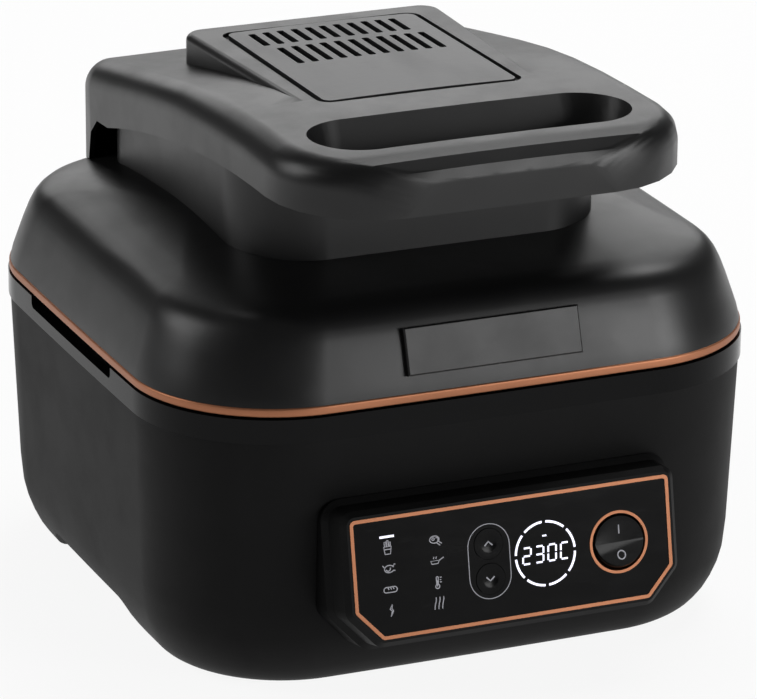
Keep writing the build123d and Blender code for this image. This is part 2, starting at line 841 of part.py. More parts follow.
face = panel_slab(-OUTLINE_WIDTH - FIT, PANEL_CORNER / 2, -FACE_THICKNESS, 0)
button_places = {
    "up_button": (BUTTON_X, BUTTON_S + BUTTON_SPACING / 2),
    "down_button": (BUTTON_X, BUTTON_S - BUTTON_SPACING / 2),
}
for x, s in button_places.values():
    face -= disc(BUTTON_RADIUS + SEAT, -2 * FACE_THICKNESS, 1, x, s)
face -= disc(ROCKER_RING_OUTER + FIT, -2 * FACE_THICKNESS, 1, ROCKER_X, ROCKER_S)
parts["panel_face"] = panel * face

# Power rocker: a ball-sided cap that tips on two trunnions inside its switch body
switch_bore = ROCKER_RING_OUTER - ROCKER_RING_WIDTH
ring = disc(ROCKER_RING_OUTER, -FACE_THICKNESS, OUTLINE_PROUD, ROCKER_X, ROCKER_S)
ring -= disc(switch_bore, -2 * FACE_THICKNESS, 1, ROCKER_X, ROCKER_S)
parts["rocker_ring"] = panel * ring

switch_top = -FACE_THICKNESS - FIT
switch = disc(SWITCH_RADIUS, switch_top - SWITCH_DEPTH, switch_top)
switch -= disc(switch_bore, switch_top - SWITCH_DEPTH + SWITCH_FLOOR, 1)
trunnion_axis = Pos(0, 0, -ROCKER_PIVOT_DEPTH) * Rot(0, 90, 0)
switch -= trunnion_axis * Cylinder(TRUNNION_RADIUS + RUNNING, 2 * TRUNNION_REACH + 1)
rocker_place = panel * Pos(ROCKER_X, ROCKER_S, 0)
parts["switch_body"] = rocker_place * switch

tilt = math.radians(ROCKER_TILT)
crown = ROCKER_PIVOT_DEPTH + ROCKER_CROWN
rise = ROCKER_RADIUS * math.tan(2 * tilt)
rocker_profile = polygon(
    [
        (0, crown),
        (ROCKER_RADIUS, crown),
        (ROCKER_RADIUS, -ROCKER_BOTTOM),
        (-ROCKER_RADIUS, -ROCKER_BOTTOM),
        (-ROCKER_RADIUS, crown + rise),
    ]
)
rocker = Sphere(ROCKER_RADIUS) & along_x(rocker_profile, ROCKER_RADIUS)
rocker += Rot(0, 90, 0) * Cylinder(TRUNNION_RADIUS, 2 * TRUNNION_REACH)
parts["power_rocker"] = rocker_place * Pos(0, 0, -ROCKER_PIVOT_DEPTH) * rocker

# Push buttons, kept in by a flange behind the face
for name, (x, s) in button_places.items():
    cap_low = -FACE_THICKNESS - SEAT
    cap = disc(BUTTON_RADIUS, cap_low, BUTTON_PROUD)
    ball = BUTTON_PROUD + BUTTON_DISH_RADIUS - BUTTON_DISH
    cap -= Pos(0, 0, ball) * Sphere(BUTTON_DISH_RADIUS)
    cap += disc(BUTTON_RADIUS + BUTTON_FLANGE, cap_low - BUTTON_FLANGE_THICKNESS, cap_low)
    stem_end = BUTTON_TRAVEL + SEAT - BOARD_DEPTH
    cap += disc(BUTTON_STEM_RADIUS, stem_end, cap_low)
    parts[name] = panel * Pos(x, s, 0) * cap

board = Pos(
    (BOARD_LEFT + BOARD_RIGHT) / 2, (BOARD_LOW + BOARD_HIGH) / 2, -BOARD_DEPTH
) * Box(
    BOARD_RIGHT - BOARD_LEFT,
    BOARD_HIGH - BOARD_LOW,
    BOARD_THICKNESS,
    align=(Align.CENTER, Align.CENTER, Align.MAX),
)
post_places = [
    (BOARD_LEFT + 2 * POST_RADIUS, BOARD_LOW + 2 * POST_RADIUS + PANEL_CUT_HEIGHT / 2),
    (BOARD_LEFT + 2 * POST_RADIUS, BOARD_HIGH - 2 * POST_RADIUS),
    (BOARD_RIGHT - 2 * POST_RADIUS, BOARD_LOW + 2 * POST_RADIUS),
    (BOARD_RIGHT - 2 * POST_RADIUS, BOARD_HIGH - 2 * POST_RADIUS),
]
for x, s in post_places:
    board += disc(POST_RADIUS, -BOARD_DEPTH, -FACE_THICKNESS - FIT, x, s)
parts["control_board"] = panel * board
display = disc(
    DISPLAY_RADIUS, FIT - BOARD_DEPTH, -FACE_THICKNESS - FIT, DISPLAY_X, DISPLAY_S
)
display -= disc(
    BUTTON_RADIUS + BUTTON_FLANGE + 1, -BOARD_DEPTH, 0, *button_places["up_button"]
)
display -= disc(
    BUTTON_RADIUS + BUTTON_FLANGE + 1, -BOARD_DEPTH, 0, *button_places["down_button"]
)
parts["display_module"] = panel * display

# Lid dome: sloped sides, a rounded ridge and a crowned plateau


def dome_solid(grow):
    """The dome's outer form, grown sideways and upwards."""
    rows = [rim_outline(inset - grow, z) for z, inset in DOME_INSETS]
    for z, half_width, front, rear, corner in DOME_CROWN:
        rows.append(outline(half_width, front, rear, corner, z, SIDE_BOW / 2))
    whole = loft(rows, ruled=True)
    return Pos(0, 0, grow) * whole if grow > 0 else whole


def dome_hollow():
    """The space under the dome, one wall in and one wall down."""
    rows = [rim_outline(inset + LID_WALL, z) for z, inset in DOME_INSETS]
    low = TRIM_TOP - LID_WALL
    rows[0] = rim_outline(LID_WALL + DOME_INSETS[0][1], low)
    for z, half_width, front, rear, corner in DOME_CROWN:
        face = outline(
            half_width - LID_WALL, front + LID_WALL, rear - LID_WALL, corner, z, SIDE_BOW / 2
        )
        rows.append(Pos(0, 0, -LID_WALL) * face)
    return loft(rows, ruled=True)


dome_outer = dome_solid(0)
lid_dome = dome_outer - dome_hollow()
hatch_half_width = NECK_HALF_WIDTH - NECK_LAP
hatch_middle = (NECK_FRONT + HATCH_REAR) / 2
hatch_half_depth = (HATCH_REAR - NECK_FRONT) / 2 - NECK_LAP
hatch = Pos(0, hatch_middle, 0) * block(
    hatch_half_width, hatch_half_depth, NECK_CORNER - NECK_LAP, DOME_RIDGE - 10, TOOL_REACH
)
lid_dome -= hatch
parts["lid_dome"] = lid_dome

trim = loft([rim_outline(-TRIM_PROUD, z) for z in (TRIM_BOTTOM, TRIM_TOP)])
trim -= loft(
    [rim_outline(TRIM_DEPTH - TRIM_PROUD, z) for z in (TRIM_BOTTOM - 1, TRIM_TOP + 1)]
)
parts["trim_ring"] = trim

badge_lean = math.atan2(
    DOME_INSETS[4][1] - DOME_INSETS[1][1], DOME_INSETS[4][0] - DOME_INSETS[1][0]
)
badge_middle_z = (BADGE_BOTTOM + BADGE_TOP) / 2
badge_height = (BADGE_TOP - BADGE_BOTTOM) / math.cos(badge_lean)
badge_plane = Plane(
    origin=(0, -RIM_HALF_DEPTH + 5.6, badge_middle_z),
    x_dir=(1, 0, 0),
    z_dir=(0, -math.cos(badge_lean), math.sin(badge_lean)),
).location
badge = Box(2 * BADGE_HALF_WIDTH, badge_height, 4 * BADGE_THICKNESS, align=BASE)
badge = Pos(0, 0, -3 * BADGE_THICKNESS) * badge
badge = chamfer(badge.faces().sort_by(Axis.Z)[-1].edges(), BADGE_EDGE)
parts["badge_plate"] = badge_plane * badge - dome_solid(FIT)

# Top cover


cover_top = Spline(*COVER_TOP_LINE)


def top_height(y):
    """The height of the cover's top line at one station."""
    share = (y - COVER_TOP_LINE[0][0]) / (COVER_TOP_LINE[-1][0] - COVER_TOP_LINE[0][0])
    for _ in range(4):
        found = cover_top @ share
        share += (y - found.X) / (COVER_TOP_LINE[-1][0] - COVER_TOP_LINE[0][0])
        share = min(max(share, 0), 1)
    return (cover_top @ share).Y


def corner_loss(reach, radius):
    """How much a rounded corner takes off at some distance from its end."""
    short = max(radius - reach, 0)
    return radius - math.sqrt(radius**2 - short**2)


def cover_block(inset):
    """The cover's outer form as cross-sections from front to rear, drawn in by a wall."""
    front = COVER_FRONT + inset
    rear = COVER_REAR - inset
    front_corner = COVER_CORNER - inset
    rear_corner = COVER_REAR_CORNER - inset
    front_round = COVER_FRONT_ROUND - inset
    rear_round = COVER_REAR_ROUND - inset
    quarter = [1 - math.cos(math.pi / 2 * k / ROUND_STEPS) for k in range(ROUND_STEPS + 1)]
    stations = [front + front_corner * q for q in quarter]
    stations += [rear - rear_corner * q for q in quarter]
    span = rear - rear_corner - front - front_corner
    for k in range(1, MIDDLE_STEPS):
        stations.append(front + front_corner + span * k / MIDDLE_STEPS)
    rows = []
    for y in sorted(stations):
        half = COVER_HALF_WIDTH - inset
        half -= corner_loss(y - front, front_corner)
        half -= corner_loss(rear - y, rear_corner)
        top = top_height(y) - inset
        top -= corner_loss(y - front, front_round)
        top -= corner_loss(rear - y, rear_round)
        shoulder = COVER_SHOULDER - inset
        low = COVER_BOTTOM - 3 * inset
        edges = [
            Line((-half, low), (half, low)),
            Line((half, low), (half, top - COVER_CROWN - shoulder)),
            RadiusArc(
                (half, top - COVER_CROWN - shoulder),
                (half - shoulder, top - COVER_CROWN),
                -shoulder,
            ),
            ThreePointArc(
                (half - shoulder, top - COVER_CROWN),
                (0, top),
                (shoulder - half, top - COVER_CROWN),
            ),
            RadiusArc(
                (shoulder - half, top - COVER_CROWN),
                (-half, top - COVER_CROWN - shoulder),
                -shoulder,
            ),
            Line((-half, top - COVER_CROWN - shoulder), (-half, low)),
        ]
        section = Plane(origin=(0, y, 0), x_dir=(1, 0, 0), z_dir=(0, -1, 0))
        rows.append(section * make_face(edges))
    return loft(rows, ruled=True)


def under_brim():
    """What is cut away below the brim and in front of the rear leg."""
    brim = Spline(*COVER_BRIM_LINE)
    start, end = brim @ 0, brim @ 1
    edges = [brim, Polyline((end.X, end.Y), *LEG_EDGE, (LEG_EDGE[-1][0], 100))]
    edges.append(Polyline((LEG_EDGE[-1][0], 100), (start.X, 100), (start.X, start.Y)))
    return along_x(make_face(edges), 2 * COVER_HALF_WIDTH)


hump_top = [(HUMP_FRONT, HUMP_FRONT_TOP), (HUMP_REAR, HUMP_REAR_TOP)]


def hump_solid(inset):
    """The raised surround, which runs out into the cover towards the front."""
    plan = polygon(
        [
            (inset - HUMP_FRONT_HALF_WIDTH, HUMP_FRONT),
            (HUMP_FRONT_HALF_WIDTH - inset, HUMP_FRONT),
            (HUMP_REAR_HALF_WIDTH - inset, HUMP_REAR - inset),
            (inset - HUMP_REAR_HALF_WIDTH, HUMP_REAR - inset),
        ]
    )
    rear = plan.vertices().group_by(Axis.Y)[-1]
    plan = fillet(rear, 3 * HUMP_ROUND - inset)
    prism = Pos(0, 0, HUMP_FOOT) * extrude(plan, 60)
    side = polygon(
        [
            (HUMP_FRONT, HUMP_FOOT),
            (HUMP_REAR, HUMP_FOOT),
            (HUMP_REAR, HUMP_REAR_TOP - inset),
            (HUMP_FRONT, HUMP_FRONT_TOP - inset),
        ]
    )
    solid = prism & along_x(side, 2 * HUMP_REAR_HALF_WIDTH)
    if inset:
        return solid
    top = solid.faces().sort_by(Axis.Z)[-1]
    round_edges = [e for e in top.edges() if e.center().Y > HUMP_FRONT + 1]
    return fillet(round_edges, HUMP_ROUND)


cover_outer = (cover_block(0) + hump_solid(0)) - under_brim()
cavity = cover_block(COVER_WALL) + hump_solid(COVER_WALL)


def handle_pocket(grow):
    """The finger slot, its rear wall sloping down to a narrower floor."""
    high = COVER_TOP_LINE[1][1] + 4

    def slot(half_width, front, rear, z):
        face = SlotOverall(2 * half_width, rear - front)
        return Pos(0, (front + rear) / 2, z) * face

    top = slot(SLOT_HALF_WIDTH + grow, SLOT_FRONT - grow, SLOT_REAR + grow, high)
    low = slot(
        SLOT_FLOOR_HALF_WIDTH + grow,
        SLOT_FLOOR_FRONT - grow,
        SLOT_FLOOR_REAR + grow,
        SLOT_FLOOR - grow,
    )
    return loft([low, top])


vent_length = math.hypot(VENT_REAR - VENT_FRONT, VENT_REAR_TOP - VENT_FRONT_TOP)
vent_fall = math.atan2(VENT_FRONT_TOP - VENT_REAR_TOP, VENT_REAR - VENT_FRONT)
vent_plane = Plane(
    origin=(
        0,
        (VENT_FRONT + VENT_REAR) / 2,
        (VENT_FRONT_TOP + VENT_REAR_TOP) / 2,
    ),
    x_dir=(1, 0, 0),
    z_dir=(0, math.sin(vent_fall), math.cos(vent_fall)),
).location


def vent_block(grow, low, high):
    """A block of the vent's outline between two heights about its top face."""
    face = RectangleRounded(
        2 * (VENT_HALF_WIDTH + grow),
        vent_length + 2 * grow,
        max(VENT_CORNER + grow, VENT_SLOT_ROUND),
    )
    return vent_plane * Pos(0, 0, low) * extrude(face, high - low)


seat_depth = VENT_CROWN + VENT_THICKNESS + FIT
top_cover = cover_outer - cavity
top_cover += handle_pocket(SLOT_WALL) & cover_outer
top_cover += vent_block(VENT_GAP + COVER_WALL, -seat_depth - COVER_WALL, 2) & cover_outer
top_cover -= handle_pocket(0)
top_cover -= vent_block(VENT_GAP, -seat_depth, 40)
top_cover -= vent_block(-VENT_LEDGE, -40, 40)
top_cover -= dome_solid(SEAT)
top_cover = top_cover.solids().sort_by(SortBy.VOLUME)[-1]
parts["top_cover"] = top_cover

# Vent plate with two staggered rows of slots
crown_radius = (VENT_HALF_WIDTH**2 + VENT_CROWN**2) / (2 * VENT_CROWN)
vent = vent_block(0, -seat_depth + FIT, 2)
barrel = Pos(0, 0, -crown_radius) * Rot(90, 0, 0) * Cylinder(crown_radius, 2 * vent_length)
vent &= vent_plane * barrel
slot_rows = [
    (VENT_REAR_ROW_MIDDLE, VENT_REAR_ROW_LENGTH, -VENT_SLOT_STAGGER),
    (VENT_FRONT_ROW_MIDDLE, VENT_FRONT_ROW_LENGTH, VENT_SLOT_STAGGER),
]
vent_cuts = []
for slot_middle, slot_length, stagger in slot_rows:
    slot_face = RectangleRounded(VENT_SLOT_WIDTH, slot_length, VENT_SLOT_ROUND)
    vent_slot = extrude(slot_face, 10 * VENT_THICKNESS, both=True)
    for n in range(VENT_SLOT_COUNT):
        slot_x = (n - (VENT_SLOT_COUNT - 1) / 2) * VENT_SLOT_PITCH + stagger
        vent_cuts.append(Pos(slot_x, slot_middle, VENT_REAR_TOP) * vent_slot)
vent -= vent_cuts
parts["vent_plate"] = vent

# Plate that closes the handle from below
handle_base_low = max(z for y, z in COVER_BRIM_LINE) + FIT
handle_base = cover_block(COVER_WALL + SEAT) & Pos(
    0, (COVER_FRONT + NECK_FRONT) / 2 - 2, handle_base_low
) * Box(
    2 * COVER_HALF_WIDTH, NECK_FRONT - COVER_FRONT - 4, HANDLE_BASE_THICKNESS, align=BASE
)
handle_base -= handle_pocket(SLOT_WALL + FIT)
parts["handle_base"] = handle_base

# Neck, seated on the dome and standing up into the cover
neck_middle = (NECK_FRONT + NECK_REAR) / 2
neck_half_depth = (NECK_REAR - NECK_FRONT) / 2
neck = Pos(0, neck_middle, 0) * block(
    NECK_HALF_WIDTH, neck_half_depth, NECK_CORNER, NECK_LOW, TOOL_REACH
)
neck -= Pos(0, neck_middle, 0) * block(
    NECK_HALF_WIDTH - LID_WALL,
    neck_half_depth - LID_WALL,
    NECK_CORNER - LID_WALL,
    NECK_LOW - 1,
    1.1 * TOOL_REACH,
)
neck &= cover_block(COVER_WALL + SEAT)
neck &= Pos(0, 0, NECK_TOP_FRONT) * Box(
    2 * TOOL_REACH, 2 * TOOL_REACH, TOOL_REACH, align=(Align.CENTER, Align.CENTER, Align.MAX)
)
neck -= dome_solid(FIT)
neck -= vent_block(VENT_GAP + COVER_WALL + FIT, -seat_depth - COVER_WALL - FIT, 2)
parts["neck"] = neck.solids().sort_by(SortBy.VOLUME)[-1]

# Lid liner, gasket, upper element and guard
dish_flange_top = DISH_FLANGE_BOTTOM + SHEET


def dish(grow, low, top):
    """The lid's inner dish, narrowing upwards."""
    rows = []
    for share, z in ((0, low), (0.25, low + 0.6 * (top - low)), (1, top)):
        inset = share * DISH_TAPER - grow
        rows.append(
            outline(
                DISH_OPENING_HALF_WIDTH - inset,
                inset - DISH_OPENING_HALF_DEPTH,
                DISH_OPENING_HALF_DEPTH - inset,
                DISH_OPENING_CORNER - inset / 2,
                z,
                SIDE_BOW / 2,
            )
        )
    return loft(rows)


lid_liner = dish(SHEET, DISH_FLANGE_BOTTOM, DISH_TOP + SHEET)
lid_liner += loft(
    [
        rim_outline(TRIM_DEPTH - TRIM_PROUD + FIT, z)
        for z in (DISH_FLANGE_BOTTOM, dish_flange_top)
    ]
)
lid_liner -= dish(0, DISH_FLANGE_BOTTOM - 0.001, DISH_TOP)
lid_liner -= disc(SHAFT_HOLE, 0, TOOL_REACH)
grill_holes = [
    disc(TERMINAL_RADIUS + TERMINAL_GAP, GRILL_ELEMENT_Z, NECK_TOP_FRONT, x, y)
    for x, y in terminal_places(GRILL_ELEMENT_OUTER, GRILL_ELEMENT_INNER)
]
lid_liner -= grill_holes
parts["lid_liner"] = lid_liner

gasket_low = pot_top + SEAT
gasket = flange(
    DISH_OPENING_HALF_WIDTH + SHEET,
    DISH_OPENING_HALF_DEPTH + SHEET,
    DISH_OPENING_CORNER,
    GASKET_WIDTH,
    gasket_low,
    DISH_FLANGE_BOTTOM - FIT,
)
parts["lid_gasket"] = gasket

shield_low = DISH_TOP + SHEET + FIT
parts["grill_element"] = element(
    GRILL_ELEMENT_OUTER,
    GRILL_ELEMENT_INNER,
    GRILL_ELEMENT_Z,
    shield_low + SHEET + TERMINAL_TIP,
)

guard = disc(GUARD_RADIUS, GUARD_Z, GUARD_Z + GUARD_THICKNESS)
slot_out = GUARD_RING_OUTER - GUARD_SLOT_WIDTH / 2
slot_in = GUARD_RING_INNER + GUARD_SLOT_WIDTH / 2
guard_cuts = []
guard_legs = []
for n in range(GUARD_SLOT_COUNT):
    start = slot_in if n % 2 else slot_in + (slot_out - slot_in) * GUARD_SHORT_SHARE
    slot_face = SlotCenterToCenter(slot_out - start, GUARD_SLOT_WIDTH)
    guard_slot = Pos((slot_out + start) / 2, 0, GUARD_Z) * extrude(
        slot_face, 4 * GUARD_THICKNESS, both=True
    )
    guard_cuts.append(Rot(0, 0, 360 * n / GUARD_SLOT_COUNT) * guard_slot)
for n in range(4):
    angle = math.radians(90 * n + 45)
    leg_x = GUARD_LEG_CIRCLE * math.cos(angle)
    leg_y = GUARD_LEG_CIRCLE * math.sin(angle)
    guard_legs.append(disc(GUARD_LEG_RADIUS, GUARD_Z, DISH_TOP - FIT, leg_x, leg_y))
guard -= guard_cuts
guard += guard_legs
parts["fan_guard"] = guard

shield = block(
    SHIELD_HALF_WIDTH, SHIELD_HALF_DEPTH, LINER_CORNER, shield_low, shield_low + SHEET
)
shield -= disc(SHAFT_HOLE, 0, TOOL_REACH)
shield -= grill_holes
parts["heat_shield"] = shield

# Fan: hot-air impeller, shaft, rotor and the cooling fan above the shield
bracket_top = BRACKET_BOTTOM + BRACKET_THICKNESS
motor_top = bracket_top + MOTOR_HEIGHT
rotor_low = bracket_top + (MOTOR_HEIGHT - ROTOR_HEIGHT) / 2
impeller = disc(IMPELLER_RADIUS, IMPELLER_Z, IMPELLER_Z + BLADE_THICKNESS)
impeller += disc(HUB_RADIUS, IMPELLER_Z, IMPELLER_Z + HUB_HEIGHT)
blade_length = IMPELLER_RADIUS - BLADE_INNER
blade = Pos(BLADE_INNER + blade_length / 2, 0, IMPELLER_Z) * Rot(0, 0, 22) * Box(
    blade_length - 3, BLADE_THICKNESS, BLADE_HEIGHT, align=BASE
)
impeller += [Rot(0, 0, 360 * n / IMPELLER_BLADES) * blade for n in range(IMPELLER_BLADES)]
impeller -= disc(SHAFT_RADIUS + RUNNING, 0, TOOL_REACH)
parts["impeller"] = impeller

parts["fan_shaft"] = disc(SHAFT_RADIUS, SHAFT_BOTTOM, motor_top + 2)
shaft_nut = disc(HUB_RADIUS * 0.7, SHAFT_BOTTOM + 1, IMPELLER_Z - FIT)
parts["shaft_nut"] = shaft_nut - disc(SHAFT_RADIUS + RUNNING, 0, TOOL_REACH)

cooler = disc(HUB_RADIUS, COOLER_Z, COOLER_Z + COOLER_HEIGHT)
cooler_blade = Pos((COOLER_RADIUS + HUB_RADIUS) / 2 - 1, 0, COOLER_Z + COOLER_HEIGHT / 2)
cooler_blade = cooler_blade * Rot(COOLER_PITCH, 0, 0) * Box(
    COOLER_RADIUS - HUB_RADIUS + 2, COOLER_HEIGHT * 1.6, BLADE_THICKNESS
)
cooler += [Rot(0, 0, 360 * n / COOLER_BLADES) * cooler_blade for n in range(COOLER_BLADES)]
cooler -= disc(SHAFT_RADIUS + RUNNING, 0, TOOL_REACH)
parts["cooling_fan"] = cooler

rotor = disc(ROTOR_RADIUS, rotor_low, rotor_low + ROTOR_HEIGHT)
parts["motor_rotor"] = rotor - disc(SHAFT_RADIUS + RUNNING, 0, TOOL_REACH)

motor = disc(MOTOR_RADIUS, bracket_top, motor_top)
motor -= disc(ROTOR_RADIUS + STATOR_GAP, bracket_top + MOTOR_WALL, motor_top - MOTOR_WALL)
motor -= disc(SHAFT_RADIUS + RUNNING, 0, TOOL_REACH)
parts["fan_motor"] = motor

bracket = Pos(0, 0, BRACKET_BOTTOM) * Box(
    2 * (NECK_HALF_WIDTH - LID_WALL - SEAT),
    2 * BRACKET_HALF_DEPTH,
    BRACKET_THICKNESS,
    align=BASE,
)
bracket -= disc(SHAFT_HOLE, 0, TOOL_REACH)
bracket_screws = corners((hatch_half_width + NECK_HALF_WIDTH - LID_WALL) / 2, BRACKET_SCREW_Y)
screw_low = BRACKET_BOTTOM - SCREW_LENGTH
screw_holes = [
    disc(SCREW_RADIUS + FIT, screw_low - 1, TOOL_REACH, x, y) for x, y, _ in bracket_screws
]
bracket -= screw_holes
parts["lid_dome"] -= screw_holes
parts["motor_bracket"] = bracket
screw_down = disc(SCREW_RADIUS, screw_low, bracket_top)
screw_down += disc(SCREW_HEAD_RADIUS, bracket_top, bracket_top + SCREW_HEAD_HEIGHT)
parts["bracket_screws"] = copies(screw_down, bracket_screws)

# Rear hinge: base knuckles outside and in the middle, lid knuckles between them
hinge_axis = Pos(0, HINGE_Y, HINGE_Z) * Rot(0, 90, 0)
lid_knuckle_from = HINGE_MIDDLE / 2 + KNUCKLE_GAP
lid_knuckle_to = lid_knuckle_from + LID_KNUCKLE
outer_knuckle_from = lid_knuckle_to + KNUCKLE_GAP
outer_knuckle_to = outer_knuckle_from + BASE_KNUCKLE


def hinge_leaf(profile, spans, bore):
    """Knuckles and their arms over some spans of the hinge line."""
    leaf = None
    for start, end in spans:
        length = end - start
        middle = (start + end) / 2
        arm = Pos(middle, 0, 0) * along_x(profile, length / 2)
        barrel = Pos(middle, 0, 0) * hinge_axis * Cylinder(KNUCKLE_RADIUS, length)
        piece = arm + barrel
        leaf = piece if leaf is None else leaf + piece
    return leaf - hinge_axis * Cylinder(bore, 4 * outer_knuckle_to)


band_rear = RIM_HALF_DEPTH + BAND_PROUD + FIT
base_arm = polygon(
    [
        (band_rear, HINGE_Z),
        (HINGE_Y, HINGE_Z + KNUCKLE_RADIUS / 2),
        (HINGE_Y + KNUCKLE_RADIUS, HINGE_Z),
        (HINGE_Y + KNUCKLE_RADIUS - 1, HINGE_Z - 12),
        (RIM_HALF_DEPTH + HINGE_PLATE_THICKNESS, HINGE_Z - 34),
        (RIM_HALF_DEPTH - 6, HINGE_Z - 34),
        (RIM_HALF_DEPTH - 6, BODY_TOP - 1),
        (band_rear, BODY_TOP - 1),
    ]
)
base_spans = [
    (-outer_knuckle_to, -outer_knuckle_from),
    (-HINGE_MIDDLE / 2, HINGE_MIDDLE / 2),
    (outer_knuckle_from, outer_knuckle_to),
]
hinge_base = hinge_leaf(base_arm, base_spans, PIN_RADIUS + RUNNING)
hinge_plate_high = HINGE_Z - KNUCKLE_RADIUS - 6
hinge_plate = Pos(0, RIM_HALF_DEPTH - 4, HINGE_PLATE_LOW) * Box(
    2 * HINGE_PLATE_HALF_WIDTH,
    2 * (HINGE_PLATE_THICKNESS + 4),
    hinge_plate_high - HINGE_PLATE_LOW,
    align=BASE,
)
hinge_plate &= along_x(
    polygon(
        [
            (RIM_HALF_DEPTH - 12, HINGE_PLATE_LOW),
            (RIM_HALF_DEPTH, HINGE_PLATE_LOW),
            (RIM_HALF_DEPTH + HINGE_PLATE_THICKNESS, HINGE_PLATE_LOW + 6),
            (RIM_HALF_DEPTH + HINGE_PLATE_THICKNESS, hinge_plate_high),
            (RIM_HALF_DEPTH - 12, hinge_plate_high),
        ]
    ),
    HINGE_PLATE_HALF_WIDTH,
)
hinge_base += hinge_plate
hinge_base -= body_solid(-FIT)
hinge_base -= loft([rim_outline(-BAND_PROUD - FIT, z) for z in (BODY_TOP - 1, BAND_TOP + 9)])
hinge_base = hinge_base.solids().sort_by(SortBy.VOLUME)[-1]
parts["hinge_bracket"] = hinge_base

leg_inner = COVER_REAR - COVER_WALL - SEAT
trim_rear = RIM_HALF_DEPTH + TRIM_PROUD + SEAT
lid_arm = polygon(
    [
        (HINGE_Y - KNUCKLE_RADIUS + 1, HINGE_Z),
        (HINGE_Y + KNUCKLE_RADIUS / 2, HINGE_Z),
        (HINGE_Y, COVER_BOTTOM - 1),
        (leg_inner, COVER_BOTTOM),
        (leg_inner, HINGE_ARM_TOP),
        (RIM_HALF_DEPTH - 26, HINGE_ARM_TOP),
        (RIM_HALF_DEPTH - 26, TRIM_TOP + SEAT),
        (trim_rear, TRIM_TOP + SEAT),
        (trim_rear, BAND_TOP + 1),
    ]
)
lid_spans = [(-lid_knuckle_to, -lid_knuckle_from), (lid_knuckle_from, lid_knuckle_to)]
lid_leaf = hinge_leaf(lid_arm, lid_spans, PIN_RADIUS + RUNNING)
lid_leaf -= dome_solid(FIT)
for side, name in ((-1, "hinge_arm_left"), (1, "hinge_arm_right")):
    halves = [s for s in lid_leaf.solids() if s.center().X * side > 0]
    parts[name] = max(halves, key=lambda s: s.volume)

pin_half = outer_knuckle_to + SEAT
pin = hinge_axis * Cylinder(PIN_RADIUS, 2 * pin_half)
for side in (-1, 1):
    pin += hinge_axis * Pos(0, 0, side * (pin_half + PIN_HEAD / 2)) * Cylinder(
        PIN_HEAD_RADIUS, PIN_HEAD
    )
parts["hinge_pin"] = pin

# Move everything so that the middle of the footprint is the origin
front_reach = PANEL_FOOT_Y - OUTLINE_PROUD * math.cos(lean)
rear_reach = HINGE_Y + KNUCKLE_RADIUS
shift = Pos(0, -(front_reach + rear_reach) / 2, 0)
os.makedirs("parts", exist_ok=True)
for name, shape in parts.items():
    export_step(shift * Compound(children=shape.solids()), f"parts/{name}.step")
print("rim centre at y", round(shift.position.Y, 3))
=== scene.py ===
import math

import bmesh
import bpy
from mathutils import Matrix, Vector


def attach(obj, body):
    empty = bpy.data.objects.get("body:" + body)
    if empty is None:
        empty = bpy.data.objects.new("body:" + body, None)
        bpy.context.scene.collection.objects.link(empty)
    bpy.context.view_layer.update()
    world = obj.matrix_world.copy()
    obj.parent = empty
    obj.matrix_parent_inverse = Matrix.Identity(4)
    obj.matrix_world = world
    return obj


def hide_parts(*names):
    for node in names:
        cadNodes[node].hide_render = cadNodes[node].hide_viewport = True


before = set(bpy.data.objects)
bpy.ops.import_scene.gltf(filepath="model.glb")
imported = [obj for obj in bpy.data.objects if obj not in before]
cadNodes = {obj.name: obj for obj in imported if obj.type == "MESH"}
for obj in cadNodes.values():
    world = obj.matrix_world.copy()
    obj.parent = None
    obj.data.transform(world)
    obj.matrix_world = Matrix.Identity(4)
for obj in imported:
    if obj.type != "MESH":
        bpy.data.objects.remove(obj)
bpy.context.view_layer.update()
print("frame loaded:", len(cadNodes), "nodes")


class Wire:
    # one output of a shader node, so that masks can be written as plain expressions
    def __init__(self, paint, socket):
        self.paint = paint
        self.socket = socket

    def __add__(self, other):
        return self.paint.maths("ADD", self, other)

    def __sub__(self, other):
        return self.paint.maths("SUBTRACT", self, other)

    def __rsub__(self, other):
        return self.paint.maths("SUBTRACT", other, self)

    def __mul__(self, other):
        return self.paint.maths("MULTIPLY", self, other)

    __radd__ = __add__
    __rmul__ = __mul__


